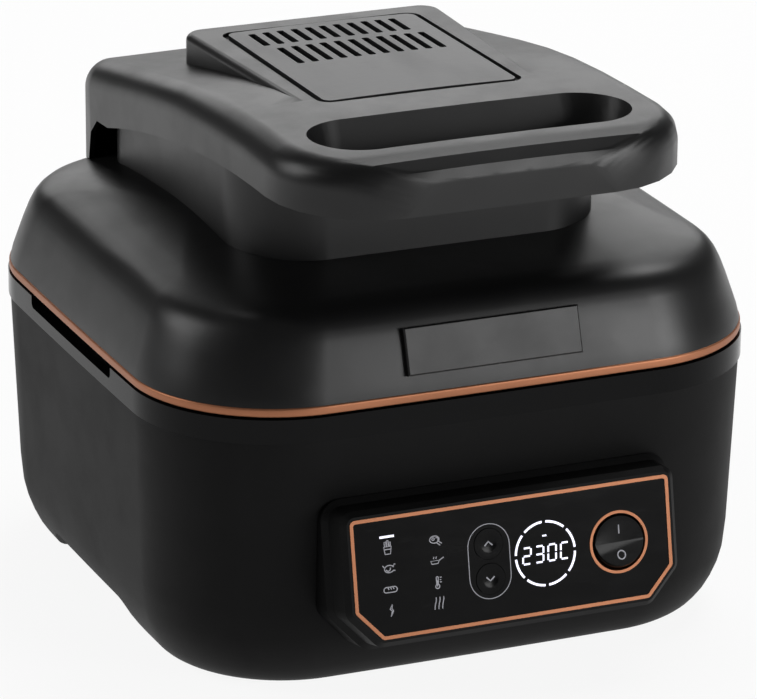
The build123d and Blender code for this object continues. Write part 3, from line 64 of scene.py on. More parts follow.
class Paint:
    # a material with one principled shader and short ways to add nodes before it
    def __init__(self, name, constants):
        self.material = bpy.data.materials.new(name)
        self.material.use_nodes = True
        self.tree = self.material.node_tree
        self.shader = self.tree.nodes["Principled BSDF"]
        for socket, value in constants.items():
            self.shader.inputs[socket].default_value = value
        self.place = self.add("ShaderNodeTexCoord", out="Object")

    def add(self, kind, settings=None, values=None, out=0):
        node = self.tree.nodes.new(kind)
        for key, value in (settings or {}).items():
            if key == "stops":
                for stop, (position, colour) in zip(node.color_ramp.elements, value):
                    stop.position = position
                    stop.color = colour
            else:
                setattr(node, key, value)
        for key, value in (values or {}).items():
            self.feed(node.inputs[key], value)
        return Wire(self, node.outputs[out])

    def feed(self, socket, value):
        if isinstance(value, Wire):
            self.tree.links.new(value.socket, socket)
        else:
            socket.default_value = value

    def maths(self, operation, first, second):
        return self.add("ShaderNodeMath", {"operation": operation}, {0: first, 1: second})

    def noise(self, scale, detail=3.0, rough=0.5, stretch=None):
        place = self.stretched(stretch) if stretch else self.place
        values = {"Vector": place, "Scale": scale, "Detail": detail, "Roughness": rough}
        return self.add("ShaderNodeTexNoise", {}, values)

    def stretched(self, stretch):
        return self.add("ShaderNodeMapping", {}, {"Vector": self.place, "Scale": stretch})

    def ramp(self, value, low, high):
        stops = [(low, (0, 0, 0, 1)), (high, (1, 1, 1, 1))]
        return self.add("ShaderNodeValToRGB", {"stops": stops}, {"Fac": value})

    def blend(self, amount, first, second):
        # 6 and 7 are the mix node's colour inputs, and output 2 is its colour
        values = {"Factor": amount, 6: first, 7: second}
        return self.add("ShaderNodeMix", {"data_type": "RGBA"}, values, out=2)

    def bump(self, height, strength, distance):
        values = {"Height": height, "Strength": strength, "Distance": distance}
        return self.add("ShaderNodeBump", {}, values, out="Normal")

    def send(self, **values):
        for key, value in values.items():
            self.feed(self.shader.inputs[key.replace("_", " ")], value)
        return self.material


def shade(tone, factor=1.0):
    return tuple(min(1.0, c * factor) for c in tone) + (1.0,)


# spark-eroded plastic: fine grain, a slow drift in gloss, a few smudges and pale specks of dust
moulded = {
    "ior": 1.48, "grainDetail": 2.0, "grainRough": 0.6, "grainGloss": 0.03, "grainDistance": 0.0002,
    "drift": {"scale": 9.0, "rough": 0.55}, "driftTones": (0.86, 1.16),
    "smudge": {"scale": 31.0, "detail": 4.0, "rough": 0.62}, "smudgeRamp": (0.42, 0.68),
    "speck": {"scale": 740.0, "detail": 1.0}, "speckRamp": (0.70, 0.78), "speckAmount": 0.5, "speckTone": 1.7,
}


def mouldedPlastic(name, look):
    paint = Paint(name, {"Specular IOR Level": look["specular"], "IOR": moulded["ior"]})
    grain = paint.noise(look["grain"], moulded["grainDetail"], moulded["grainRough"])
    drift = paint.noise(**moulded["drift"])
    smudge = paint.ramp(paint.noise(**moulded["smudge"]), *moulded["smudgeRamp"])
    speck = paint.ramp(paint.noise(**moulded["speck"]), *moulded["speckRamp"])
    dark, pale = (shade(look["tone"], factor) for factor in moulded["driftTones"])
    tone = paint.blend(drift, dark, pale)
    tone = paint.blend(speck * moulded["speckAmount"], tone, shade(look["tone"], moulded["speckTone"]))
    rough = look["rough"] + (drift - 0.5) * look["drift"]  # noise drifts about one half
    rough = rough + smudge * look["smudge"] + grain * moulded["grainGloss"]
    normal = paint.bump(grain, look["depth"], moulded["grainDistance"])
    return paint.send(Base_Color=tone, Roughness=rough, Normal=normal)


# hard gloss with faint orange peel, wiping marks and hairlines
polished = {
    "ior": 1.5, "peelDetail": 2.0, "peelDistance": 0.0004,
    "wipe": {"scale": 5.0, "detail": 4.0, "rough": 0.6, "stretch": (6.0, 1.5, 22.0)}, "wipeRamp": (0.45, 0.72),
    "hair": {"scale": 60.0, "detail": 1.0, "stretch": (1.0, 34.0, 7.0)}, "hairRamp": (0.68, 0.72),
    "wipeAmount": 0.4, "wipeTone": 1.3, "hairGloss": 0.05,
}


def polishedPlastic(name, look):
    paint = Paint(name, {"Specular IOR Level": look["specular"], "IOR": polished["ior"]})
    peel = paint.noise(look["peel"], polished["peelDetail"])
    wipe = paint.ramp(paint.noise(**polished["wipe"]), *polished["wipeRamp"])
    hair = paint.ramp(paint.noise(**polished["hair"]), *polished["hairRamp"])
    tone = paint.blend(wipe * polished["wipeAmount"], shade(look["tone"]), shade(look["tone"], polished["wipeTone"]))
    rough = look["rough"] + wipe * look["wipe"] + hair * polished["hairGloss"]
    normal = paint.bump(peel, look["depth"], polished["peelDistance"])
    return paint.send(Base_Color=tone, Roughness=rough, Normal=normal)


# satin plating: fine lines along the rim, warm and cool patches
plated = {
    "line": {"scale": 120.0, "detail": 2.0, "rough": 0.6, "stretch": (1.0, 1.0, 30.0)}, "lineGloss": 0.12,
    "patch": {"scale": 14.0}, "coolTone": 0.82, "warmTone": 1.1, "patchGloss": 0.05,
    "depth": 0.12, "distance": 0.0001,
}


def platedMetal(name, look):
    paint = Paint(name, {"Metallic": look["metallic"]})
    line = paint.noise(**plated["line"])
    patch = paint.noise(**plated["patch"])
    cool, warm = shade(look["tone"], plated["coolTone"]), shade(look["warm"], plated["warmTone"])
    rough = look["rough"] + line * plated["lineGloss"] + patch * plated["patchGloss"]
    normal = paint.bump(line, plated["depth"], plated["distance"])
    return paint.send(Base_Color=paint.blend(patch, cool, warm), Roughness=rough, Normal=normal)


# brushed sheet: fine lines one way, with broad stains
brushed = {
    "line": {"scale": 90.0, "rough": 0.65}, "lineGloss": 0.18, "cleanTone": 1.05,
    "stain": {"scale": 17.0, "detail": 4.0, "rough": 0.6}, "stainRamp": (0.35, 0.75), "stainGloss": 0.08,
    "depth": 0.18, "distance": 0.00012,
}


def brushedSteel(name, look):
    paint = Paint(name, {"Metallic": look["metallic"]})
    line = paint.noise(stretch=look["along"], **brushed["line"])
    stain = paint.ramp(paint.noise(**brushed["stain"]), *brushed["stainRamp"])
    tone = paint.blend(stain, shade(look["tone"], brushed["cleanTone"]), shade(look["stain"]))
    rough = look["rough"] + line * brushed["lineGloss"] + stain * brushed["stainGloss"]
    normal = paint.bump(line, brushed["depth"], brushed["distance"])
    return paint.send(Base_Color=tone, Roughness=rough, Normal=normal)


# non-stick coating: tiny pale flecks in a dark sprayed film
coated = {
    "specular": 0.4, "fleck": {"scale": 520.0, "detail": 2.0, "rough": 0.7}, "fleckRamp": (0.64, 0.70),
    "fleckTone": 7.0, "film": {"scale": 160.0}, "filmGloss": 0.16, "depth": 0.2, "distance": 0.0002,
}


def coatedPan(name, look):
    paint = Paint(name, {"Specular IOR Level": coated["specular"]})
    fleck = paint.ramp(paint.noise(**coated["fleck"]), *coated["fleckRamp"])
    film = paint.noise(**coated["film"])
    tone = paint.blend(fleck * look["fleck"], shade(look["tone"]), shade(look["tone"], coated["fleckTone"]))
    rough = look["rough"] + film * coated["filmGloss"]
    normal = paint.bump(film, coated["depth"], coated["distance"])
    return paint.send(Base_Color=tone, Roughness=rough, Normal=normal)


# rubber and silicone: a dull bloom over fine pits
rubbery = {
    "specular": 0.3, "bloom": {"scale": 70.0, "detail": 4.0, "rough": 0.65}, "bloomRamp": (0.4, 0.75),
    "bloomAmount": 0.6, "bloomTone": 1.9, "rough": 0.72, "bloomGloss": 0.16,
    "pit": {"scale": 900.0, "detail": 2.0}, "depth": 0.25, "distance": 0.0002,
}


def softRubber(name, look):
    paint = Paint(name, {"Specular IOR Level": rubbery["specular"]})
    bloom = paint.ramp(paint.noise(**rubbery["bloom"]), *rubbery["bloomRamp"])
    tone = paint.blend(bloom * rubbery["bloomAmount"], shade(look["tone"]), shade(look["tone"], rubbery["bloomTone"]))
    rough = rubbery["rough"] + bloom * rubbery["bloomGloss"]
    normal = paint.bump(paint.noise(**rubbery["pit"]), rubbery["depth"], rubbery["distance"])
    return paint.send(Base_Color=tone, Roughness=rough, Normal=normal)


# green lacquer with copper tracks showing as paler lines under it
lacquer = {
    "specular": 0.5, "stretch": (1.0, 1.0, 0.2), "cells": 210.0, "trackRamp": (0.03, 0.09),
    "rough": 0.34, "trackGloss": 0.12, "depth": 0.3, "distance": 0.0002,
}


def solderMask(name, look):
    paint = Paint(name, {"Specular IOR Level": lacquer["specular"]})
    values = {"Vector": paint.stretched(lacquer["stretch"]), "Scale": lacquer["cells"]}
    cell = paint.add("ShaderNodeTexVoronoi", {"feature": "DISTANCE_TO_EDGE"}, values)
    track = 1.0 - paint.ramp(cell, *lacquer["trackRamp"])
    tone = paint.blend(track, shade(look["tone"]), shade(look["track"]))
    rough = lacquer["rough"] + track * lacquer["trackGloss"]
    normal = paint.bump(track, lacquer["depth"], lacquer["distance"])
    return paint.send(Base_Color=tone, Roughness=rough, Normal=normal)


# screen print: slightly uneven cover, which glows: the lit display's own light, and a painted glow on the white ink
# marks
screenPrint = {
    "specular": 0.3, "cover": {"scale": 1400.0, "detail": 2.0}, "thin": 0.9, "rough": 0.45, "coverGloss": 0.2,
}


def printedInk(name, look):
    paint = Paint(name, {"Specular IOR Level": screenPrint["specular"], "Emission Strength": look["glow"]})
    cover = paint.noise(**screenPrint["cover"])
    tone = paint.blend(cover, shade(look["tone"], screenPrint["thin"]), shade(look["tone"]))
    rough = screenPrint["rough"] + cover * screenPrint["coverGloss"]
    return paint.send(Base_Color=tone, Emission_Color=tone, Roughness=rough)


looks = {
    "bodyBlack": {
        "tone": (0.0030, 0.0030, 0.0031), "specular": 0.12, "rough": 0.52, "drift": 0.08, "smudge": 0.04,
        "grain": 1500.0, "depth": 0.22,
    },
    "lidBlack": {
        "tone": (0.0055, 0.0055, 0.0057), "specular": 0.40, "rough": 0.34, "drift": 0.06, "smudge": 0.05,
        "grain": 1900.0, "depth": 0.10,
    },
    "bandBlack": {
        "tone": (0.003, 0.003, 0.0032), "specular": 0.10, "rough": 0.12, "wipe": 0.06, "peel": 300.0, "depth": 0.04,
    },
    "panelBlack": {
        "tone": (0.0025, 0.0025, 0.0027), "specular": 0.10, "rough": 0.18, "wipe": 0.05, "peel": 420.0, "depth": 0.03,
    },
    "ventGrey": {
        "tone": (0.020, 0.020, 0.021), "specular": 0.17, "rough": 0.30, "wipe": 0.05, "peel": 380.0, "depth": 0.05,
    },
    "copper": {"tone": (0.34, 0.135, 0.066), "warm": (0.42, 0.17, 0.085), "metallic": 0.7, "rough": 0.36},
    "rubber": {"tone": (0.02, 0.02, 0.02)},
    "silicone": {"tone": (0.07, 0.07, 0.075)},
    "linerSteel": {
        "tone": (0.55, 0.55, 0.54), "stain": (0.42, 0.40, 0.37), "metallic": 1.0, "rough": 0.26,
        "along": (1.0, 22.0, 22.0),
    },
    "tubeSteel": {
        "tone": (0.16, 0.15, 0.14), "stain": (0.20, 0.13, 0.10), "metallic": 0.9, "rough": 0.42,
        "along": (6.0, 6.0, 1.0),
    },
    "sheetSteel": {
        "tone": (0.42, 0.42, 0.43), "stain": (0.34, 0.34, 0.33), "metallic": 1.0, "rough": 0.32,
        "along": (1.0, 14.0, 14.0),
    },
    "zincSteel": {
        "tone": (0.48, 0.48, 0.49), "stain": (0.50, 0.46, 0.36), "metallic": 1.0, "rough": 0.3,
        "along": (3.0, 3.0, 3.0),
    },
    "castAlloy": {
        "tone": (0.5, 0.5, 0.5), "stain": (0.4, 0.4, 0.39), "metallic": 1.0, "rough": 0.4,
        "along": (2.0, 2.0, 2.0),
    },
    "panCoat": {"tone": (0.016, 0.016, 0.017), "rough": 0.42, "fleck": 0.5},
    "board": {"tone": (0.01, 0.07, 0.03), "track": (0.03, 0.16, 0.06)},
    "litWhite": {"tone": (0.86, 0.86, 1.0), "glow": 1.0},
    # the printed white ink's small glow is painted light, since the ink is no lamp
    "whiteInkPaintedGlow": {"tone": (0.42, 0.42, 0.46), "glow": 0.12},
}
makers = {
    "bodyBlack": mouldedPlastic, "lidBlack": mouldedPlastic, "bandBlack": polishedPlastic,
    "panelBlack": polishedPlastic, "ventGrey": polishedPlastic, "copper": platedMetal,
    "rubber": softRubber, "silicone": softRubber, "linerSteel": brushedSteel, "tubeSteel": brushedSteel,
    "sheetSteel": brushedSteel, "zincSteel": brushedSteel, "castAlloy": brushedSteel,
    "panCoat": coatedPan, "board": solderMask, "litWhite": printedInk, "whiteInkPaintedGlow": printedInk,
}
finishes = {name: makers[name](name, look) for name, look in looks.items()}
print("materials made:", len(finishes))

# which finish each CAD node wears where no piece takes its place
wears = {
    "bodyBlack": ["base_plate", "cord_gland", "switch_body", "hinge_bracket", "cooling_fan"],
    "lidBlack": ["handle_base", "hinge_arm_left", "hinge_arm_right"],
    "rubber": ["feet"],
    "silicone": ["lid_gasket"],
    "zincSteel": ["base_screws", "hinge_pin", "bracket_screws", "fan_shaft", "shaft_nut"],
    "board": ["power_board", "control_board"],
    "linerSteel": ["chamber_liner", "temperature_sensor", "lid_liner", "fan_guard", "heat_shield", "impeller"],
    "tubeSteel": ["lower_element", "grill_element"],
    "sheetSteel": ["fan_motor", "motor_bracket", "motor_rotor"],
    "castAlloy": ["heating_plate"],
    "litWhite": ["display_module"],
}
for finish, names in wears.items():
    for name in names:
        mesh = cadNodes[name].data
        mesh.materials.clear()
        mesh.materials.append(finishes[finish])
print("CAD nodes dressed")

skin = {"mergeWithin": 0.00002, "creaseAngle": 30.0}


def smoothed(piece, node, finish, body, slot, evened):
    # the node's own surface with its loose triangles joined and its soft turns shaded soft
    mesh = cadNodes[node].data.copy()
    mesh.name = piece
    work = bmesh.new()
    work.from_mesh(mesh)
    bmesh.ops.remove_doubles(work, verts=work.verts, dist=skin["mergeWithin"])
    work.to_mesh(mesh)
    work.free()
    stored = mesh.attributes.get("custom_normal")  # the loose triangles' own normals no longer fit
    if stored:
        mesh.attributes.remove(stored)
    mesh.materials.clear()
    mesh.materials.append(finishes[finish])
    mesh.polygons.foreach_set("use_smooth", [True] * len(mesh.polygons))
    mesh.set_sharp_from_angle(angle=math.radians(skin["creaseAngle"]))
    mesh.update()
    made = bpy.data.objects.new(piece, mesh)
    bpy.context.scene.collection.objects.link(made)
    if evened:
        weighted = made.modifiers.new("evenNormals", "WEIGHTED_NORMAL")
        weighted.keep_sharp = True
    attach(made, body)
    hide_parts(node)


# piece: node, finish, body, slot, and whether its normals are evened out, which streaks the band's grips
bodyPieces = {
    "lowerBody": ("base_shell", "bodyBlack", "base", "matte_black", True),
    "glossBand": ("rim_band", "bandBlack", "base", "gloss_black", False),
    "lidDome": ("lid_dome", "lidBlack", "lid", "satin_black", True),
    "lidNeck": ("neck", "lidBlack", "lid", "satin_black", True),
    "handleCover": ("top_cover", "lidBlack", "lid", "satin_black", True),
    "ventPlate": ("vent_plate", "ventGrey", "lid", "vent_gloss", True),
    "badgePlate": ("badge_plate", "lidBlack", "lid", "badge_black", True),
    "panelHousing": ("panel_housing", "bodyBlack", "base", "satin_black", True),
    "panelOutline": ("panel_outline", "copper", "base", "copper", True),
    "panelFace": ("panel_face", "panelBlack", "base", "panel_gloss", True),
    "rockerRing": ("rocker_ring", "copper", "base", "copper", True),
    "powerRocker": ("power_rocker", "panelBlack", "rocker", "rocker_gloss", True),
    "upButton": ("up_button", "panelBlack", "up_key", "panel_gloss", True),
    "downButton": ("down_button", "panelBlack", "down_key", "panel_gloss", True),
    "cookingPot": ("pot", "panCoat", "base", "nonstick", True),
    "cookingRack": ("rack", "panCoat", "base", "nonstick", True),
}
for piece, choices in bodyPieces.items():
    smoothed(piece, *choices)
print("main pieces smoothed")


def sweepTree(name, finish, rounded):
    # lines in, a swept bar out: the bar's width, height and edge round are the tree's inputs
    tree = bpy.data.node_groups.new(name, "GeometryNodeTree")
    socket = tree.interface.new_socket
    socket("Lines", in_out="INPUT", socket_type="NodeSocketGeometry")
    labels = ("Width", "Height", "Edge Round")
    sizes = [socket(label, in_out="INPUT", socket_type="NodeSocketFloat") for label in labels]
    socket("Bars", in_out="OUTPUT", socket_type="NodeSocketGeometry")
    lines = tree.nodes.new("NodeGroupInput")
    bars = tree.nodes.new("NodeGroupOutput")
    toCurve = tree.nodes.new("GeometryNodeMeshToCurve")
    upright = tree.nodes.new("GeometryNodeSetCurveNormal")
    upright.mode = "Z_UP"
    profile = tree.nodes.new("GeometryNodeCurvePrimitiveQuadrilateral")
    sweep = tree.nodes.new("GeometryNodeCurveToMesh")
    sweep.inputs["Fill Caps"].default_value = True
    realize = tree.nodes.new("GeometryNodeRealizeInstances")
    paint = tree.nodes.new("GeometryNodeSetMaterial")
    paint.inputs["Material"].default_value = finish
    join = tree.links.new
    join(lines.outputs["Lines"], toCurve.inputs[0])
    join(toCurve.outputs[0], upright.inputs[0])
    join(upright.outputs[0], sweep.inputs["Curve"])
    join(lines.outputs["Width"], profile.inputs["Width"])
    join(lines.outputs["Height"], profile.inputs["Height"])
    if rounded:
        fillet = tree.nodes.new("GeometryNodeFilletCurve")
        fillet.mode = "POLY"
        fillet.inputs["Count"].default_value = rounded
        join(profile.outputs[0], fillet.inputs["Curve"])
        join(lines.outputs["Edge Round"], fillet.inputs["Radius"])
        join(fillet.outputs[0], sweep.inputs["Profile Curve"])
    else:
        join(profile.outputs[0], sweep.inputs["Profile Curve"])
    join(sweep.outputs[0], realize.inputs[0])
    join(realize.outputs[0], paint.inputs["Geometry"])
    join(paint.outputs[0], bars.inputs[0])
    return tree, [size.identifier for size in sizes]


def swept(name, points, edges, finish, sizes, rounded=0):
    # runs the tree once on the lines and keeps the plain mesh that it gives
    tree, keys = sweepTree(name + "Tree", finishes[finish], rounded)
    mesh = bpy.data.meshes.new(name + "Lines")
    mesh.from_pydata(points, edges, [])
    source = bpy.data.objects.new(name + "Lines", mesh)
    bpy.context.scene.collection.objects.link(source)
    modifier = source.modifiers.new("sweep", "NODES")
    modifier.node_group = tree
    for key, size in zip(keys, sizes):
        modifier[key] = size
    shown = source.evaluated_get(bpy.context.evaluated_depsgraph_get())
    result = bpy.data.meshes.new_from_object(shown)
    result.name = name
    bpy.data.objects.remove(source)
    return result


def placed(name, mesh, body, slot, *nodes):
    work = bmesh.new()
    work.from_mesh(mesh)
    bmesh.ops.recalc_face_normals(work, faces=work.faces)
    work.to_mesh(mesh)
    work.free()
    made = bpy.data.objects.new(name, mesh)
    bpy.context.scene.collection.objects.link(made)
    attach(made, body)
    if nodes:
        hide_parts(*nodes)


rim = {
    "halfWidth": 0.174, "halfDepth": 0.1717, "corner": 0.0789, "cornerShrink": 0.6, "bow": 0.0017,
    "middleY": 0.008596, "sideSteps": 20, "cornerSteps": 28,
}


def rimRun(inset, z):
    # a quarter of the rim is two long bowed sides and one round corner; the rest mirrors it
    wide, deep = rim["halfWidth"] - inset, rim["halfDepth"] - inset
    corner = rim["corner"] - rim["cornerShrink"] * inset
    frontRadius = ((wide - rim["bow"]) ** 2 + rim["bow"] ** 2) / (2 * rim["bow"])
    sideRadius = ((deep - rim["bow"]) ** 2 + rim["bow"] ** 2) / (2 * rim["bow"])
    front = Vector((0, frontRadius - deep))
    side = Vector((wide - sideRadius, 0))
    apart = side - front
    # the corner's middle lies where both sides' circles, less the corner's radius, cross
    along = (((frontRadius - corner) ** 2 - (sideRadius - corner) ** 2) / apart.length + apart.length) / 2
    across = math.sqrt((frontRadius - corner) ** 2 - along ** 2)
    axis = apart.normalized()
    options = [front + along * axis + turn * across * Vector((-axis.y, axis.x)) for turn in (-1, 1)]
    middle = max(options, key=lambda point: point.x - point.y)
    low = math.atan2(middle.y - front.y, middle.x - front.x)
    high = math.atan2(middle.y - side.y, middle.x - side.x)
    runs = [
        (front, frontRadius, -math.pi / 2, low, rim["sideSteps"]),
        (middle, corner, low, high, rim["cornerSteps"]),
        (side, sideRadius, high, 0, rim["sideSteps"]),
    ]
    quarter = []
    for centre, radius, start, end, steps in runs:
        for k in range(steps):
            turn = start + (end - start) * k / steps
            quarter.append((centre.x + radius * math.cos(turn), centre.y + radius * math.sin(turn)))
    quarter.append((wide, 0.0))
    half = quarter + [(x, -y) for x, y in reversed(quarter[:-1])]
    loop = half + [(-x, y) for x, y in reversed(half[1:-1])]
    return [(x, y + rim["middleY"], z) for x, y in loop]


copperTrim = {"inset": 0.0015, "height": 0.164, "depth": 0.0042, "tall": 0.0050, "edge": 0.0011, "roundSteps": 4}
trimPoints = rimRun(copperTrim["inset"], copperTrim["height"])
trimEdges = [(k, (k + 1) % len(trimPoints)) for k in range(len(trimPoints))]
trimSizes = (copperTrim["depth"], copperTrim["tall"], copperTrim["edge"])
trimMesh = swept("copperTrim", trimPoints, trimEdges, "copper", trimSizes, copperTrim["roundSteps"])
trimMesh.polygons.foreach_set("use_smooth", [True] * len(trimMesh.polygons))
placed("copperTrim", trimMesh, "lid", "copper", "trim_ring")
print("copper trim swept")

# marks on the control panel, drawn in millimetres in its own leaning plane: x to the right, s up the slope
panelPlane = {"foot": (0.0, -0.1952036, 0.0444), "lean": 10.8, "lift": 0.03, "inkHeight": 0.12}
mm = 0.001
leanSine = mm * math.sin(math.radians(panelPlane["lean"]))
leanCosine = mm * math.cos(math.radians(panelPlane["lean"]))
footX, footY, footZ = panelPlane["foot"]
panelMatrix = Matrix((
    (mm, 0, 0, footX),
    (0, leanSine, -leanCosine, footY),
    (0, leanCosine, leanSine, footZ),
    (0, 0, 0, 1),
))


def flatHeight(x, s):
    return 0.0


def printed(name, lines, width, finish, body, slot, height=flatHeight):
    points, edges = [], []
    for line in lines:
        closed = line[0] == line[-1]
        run = line[:-1] if closed else line
        first = len(points)
        points += [(x, s, height(x, s) + panelPlane["lift"]) for x, s in run]
        edges += [(first + k, first + k + 1) for k in range(len(run) - 1)]
        if closed:
            edges.append((first + len(run) - 1, first))
    mesh = swept(name, points, edges, finish, (width, panelPlane["inkHeight"], 0.0))
    mesh.transform(panelMatrix)
    placed(name, mesh, body, slot)


def arc(cx, cy, radius, start, end, steps=12, squash=1.0):
    # angles in degrees, counted from the right
    turns = [math.radians(start + (end - start) * k / steps) for k in range(steps + 1)]
    run = [(cx + radius * math.cos(t), cy + squash * radius * math.sin(t)) for t in turns]
    if abs(end - start) >= 360:
        run[-1] = run[0]
    return run


display = {
    "middle": (18.2, 32.7), "radius": 17.1, "segments": 8, "gap": 7.0, "ringWidth": 1.25,
    "reading": "230C", "digitHeight": 8.6, "digitWidth": 4.5, "digitPitch": 7.3, "digitLine": 1.0,
    "barGap": 0.45, "slant": 0.06, "lampHalf": 1.2, "lampRise": 9.6, "lampLine": 0.9,
}
dx, ds = display["middle"]
segment = 360 / display["segments"]
ringLines = []
for k in range(display["segments"]):
    start = 90 + segment * k + display["gap"] / 2
    end = 90 + segment * (k + 1) - display["gap"] / 2
    ringLines.append(arc(dx, ds, display["radius"], start, end))
printed("displayRing", ringLines, display["ringWidth"], "litWhite", "base", "display_white")


def digitLines(shape, left, low):
    # seven straight bars: top, top left, top right, middle, low left, low right, bottom
    wide, tall, cut = display["digitWidth"], display["digitHeight"], display["barGap"]
    half = tall / 2
    bars = [
        ((cut, tall), (wide - cut, tall)),
        ((0, half + cut), (0, tall - cut)),
        ((wide, half + cut), (wide, tall - cut)),
        ((cut, half), (wide - cut, half)),
        ((0, cut), (0, half - cut)),
        ((wide, cut), (wide, half - cut)),
        ((cut, 0), (wide - cut, 0)),
    ]
    lit = [bar for mark, bar in zip(shape, bars) if mark == "1"]
    return [[(left + x + display["slant"] * y, low + y) for x, y in bar] for bar in lit]


shapes = {"2": "1011101", "3": "1011011", "0": "1110111", "C": "1100101"}
digits = []
for k, letter in enumerate(display["reading"]):
    place = k - (len(display["reading"]) - 1) / 2
    left = dx + place * display["digitPitch"] - display["digitWidth"] / 2
    digits += digitLines(shapes[letter], left, ds - display["digitHeight"] / 2)
printed("displayDigits", digits, display["digitLine"], "litWhite", "base", "display_white")
lampLeft, lampRight = dx - display["lampHalf"], dx + display["lampHalf"]
lampBar = [(lampLeft, ds + display["lampRise"]), (lampRight, ds + display["lampRise"])]
printed("displayLamp", [lampBar], display["lampLine"], "litWhite", "base", "display_white")

icons = {
    "line": 0.55, "size": 3.6, "left": -71.3, "right": -44.1, "rows": (48.8, 37.8, 26.2, 15.1),
    "barHalf": 4.1, "barHeight": 54.5, "barLine": 1.2,
}


def put(lines, x, s):
    return [[(x + a * icons["size"], s + b * icons["size"]) for a, b in line] for line in lines]


# each icon is drawn about its own middle, in units of the icon size
cupOfFries = [
    [(-0.6, 0.1), (-0.42, -1.0), (0.42, -1.0), (0.6, 0.1), (-0.6, 0.1)],
    [(-0.45, 0.1), (-0.5, 0.8), (-0.22, 0.85), (-0.2, 0.1)],
    [(-0.1, 0.1), (-0.1, 1.0), (0.15, 1.0), (0.15, 0.1)],
    [(0.28, 0.1), (0.3, 0.75), (0.52, 0.72), (0.45, 0.1)],
    [(-0.5, -0.3), (0.5, -0.3)],
]
roastBird = [
    arc(0.05, -0.15, 0.75, 20, 330, 14, 0.72),
    [(0.7, 0.1), (0.85, 0.5), (1.05, 0.45)],
    [(0.7, -0.4), (1.0, -0.5)],
    arc(-0.1, -0.1, 0.35, 200, 380, 8),
    [(-0.7, 0.1), (-0.95, 0.45)],
]
breadLoaf = [
    arc(-0.6, 0.0, 0.4, 90, 270, 8) + [(0.75, -0.4)] + arc(0.7, 0.0, 0.4, -80, 90, 8) + [(-0.6, 0.4)],
    [(-0.35, 0.35), (-0.2, 0.0)],
    [(0.05, 0.35), (0.2, 0.0)],
    [(0.45, 0.35), (0.6, 0.0)],
]
flame = [
    [(0.15, 0.9), (-0.25, 0.2), (0.1, -0.1), (-0.15, -0.9)],
    [(0.15, 0.9), (0.05, 0.25), (0.3, -0.1), (-0.15, -0.9)],
]
steak = [
    arc(-0.15, 0.1, 0.75, 0, 360, 18, 0.7),
    arc(-0.35, 0.2, 0.2, 0, 360, 8),
    [(0.45, -0.2), (1.0, -0.6)],
    [(0.2, -0.45), (0.7, -0.85)],
    arc(0.2, 0.1, 0.25, -60, 120, 6),
]
fryingPan = [
    [(-0.95, 0.0), (0.4, 0.0), (0.2, -0.45), (-0.75, -0.45), (-0.95, 0.0)],
    [(0.4, 0.0), (1.15, 0.4)],
    [(-0.5, 0.3), (-0.4, 0.6)],
    [(-0.1, 0.3), (0.0, 0.6)],
]
bulb = arc(-0.1, -0.6, 0.32, 115, 425, 12)
thermometer = [
    bulb + arc(-0.1, 0.7, 0.16, 0, 180, 6) + [bulb[0]],
    [(-0.1, -0.6), (-0.1, 0.3)],
    [(0.3, 0.7), (0.6, 0.7)],
    [(0.3, 0.35), (0.5, 0.35)],
    [(0.3, 0.0), (0.6, 0.0)],
]
heat = {"places": (-0.6, 0.0, 0.6), "sway": 0.14, "pace": 2.2, "foot": -0.9, "rise": 0.15, "points": 13}
heatHeights = [heat["foot"] + heat["rise"] * k for k in range(heat["points"])]
heatWaves = [[(x + heat["sway"] * math.sin(heat["pace"] * t), t) for t in heatHeights] for x in heat["places"]]

iconColumns = {
    "left": (cupOfFries, roastBird, breadLoaf, flame),
    "right": (steak, fryingPan, thermometer, heatWaves),
}
iconLines = []
for column, drawings in iconColumns.items():
    for s, drawing in zip(icons["rows"], drawings):
        iconLines += put(drawing, icons[column], s)
printed("functionIcons", iconLines, icons["line"], "whiteInkPaintedGlow", "base", "display_white")
barLeft, barRight = icons["left"] - icons["barHalf"], icons["left"] + icons["barHalf"]
modeBar = [(barLeft, icons["barHeight"]), (barRight, icons["barHeight"])]
printed("modeBar", [modeBar], icons["barLine"], "litWhite", "base", "display_white")

keys = {
    "x": -14.1, "middle": 33.1, "spacing": 18.8, "halfWidth": 11.9, "halfHeight": 20.1, "line": 0.45, "steps": 20,
    "markHalf": 2.3, "markFoot": 1.0, "markTip": 1.2, "markLine": 0.8,
    "top": 0.3, "dish": 0.5, "dishSpread": 48.0,
}
straight = keys["halfHeight"] - keys["halfWidth"]
capsule = arc(keys["x"], keys["middle"] + straight, keys["halfWidth"], 0, 180, keys["steps"])
capsule += arc(keys["x"], keys["middle"] - straight, keys["halfWidth"], 180, 360, keys["steps"])
printed("keyCapsule", [capsule + [capsule[0]]], keys["line"], "whiteInkPaintedGlow", "base", "display_white")


def dishHeight(x, s):
    # the buttons' dished tops, from the middle outwards
    middles = [keys["middle"] + side * keys["spacing"] / 2 for side in (-1, 1)]
    away = min(math.hypot(x - keys["x"], s - middle) for middle in middles)
    return keys["top"] - keys["dish"] + away ** 2 / keys["dishSpread"]


for name, side, body in (("upMark", 1, "up_key"), ("downMark", -1, "down_key")):
    middle = keys["middle"] + side * keys["spacing"] / 2
    foot, tip = middle - side * keys["markFoot"], middle + side * keys["markTip"]
    chevron = [(keys["x"] - keys["markHalf"], foot), (keys["x"], tip), (keys["x"] + keys["markHalf"], foot)]
    printed(name, [chevron], keys["markLine"], "whiteInkPaintedGlow", body, "display_white", dishHeight)

rocker = {
    "x": 61.0, "s": 32.8, "face": 0.9, "tilt": 16.0, "line": 0.7,
    "onFrom": 4.6, "onTo": 9.4, "offDrop": 6.6, "offRadius": 2.2, "offSteps": 24,
}


def rockerHeight(x, s):
    below = max(0.0, rocker["s"] - s)
    return rocker["face"] + below * math.tan(math.radians(rocker["tilt"]))


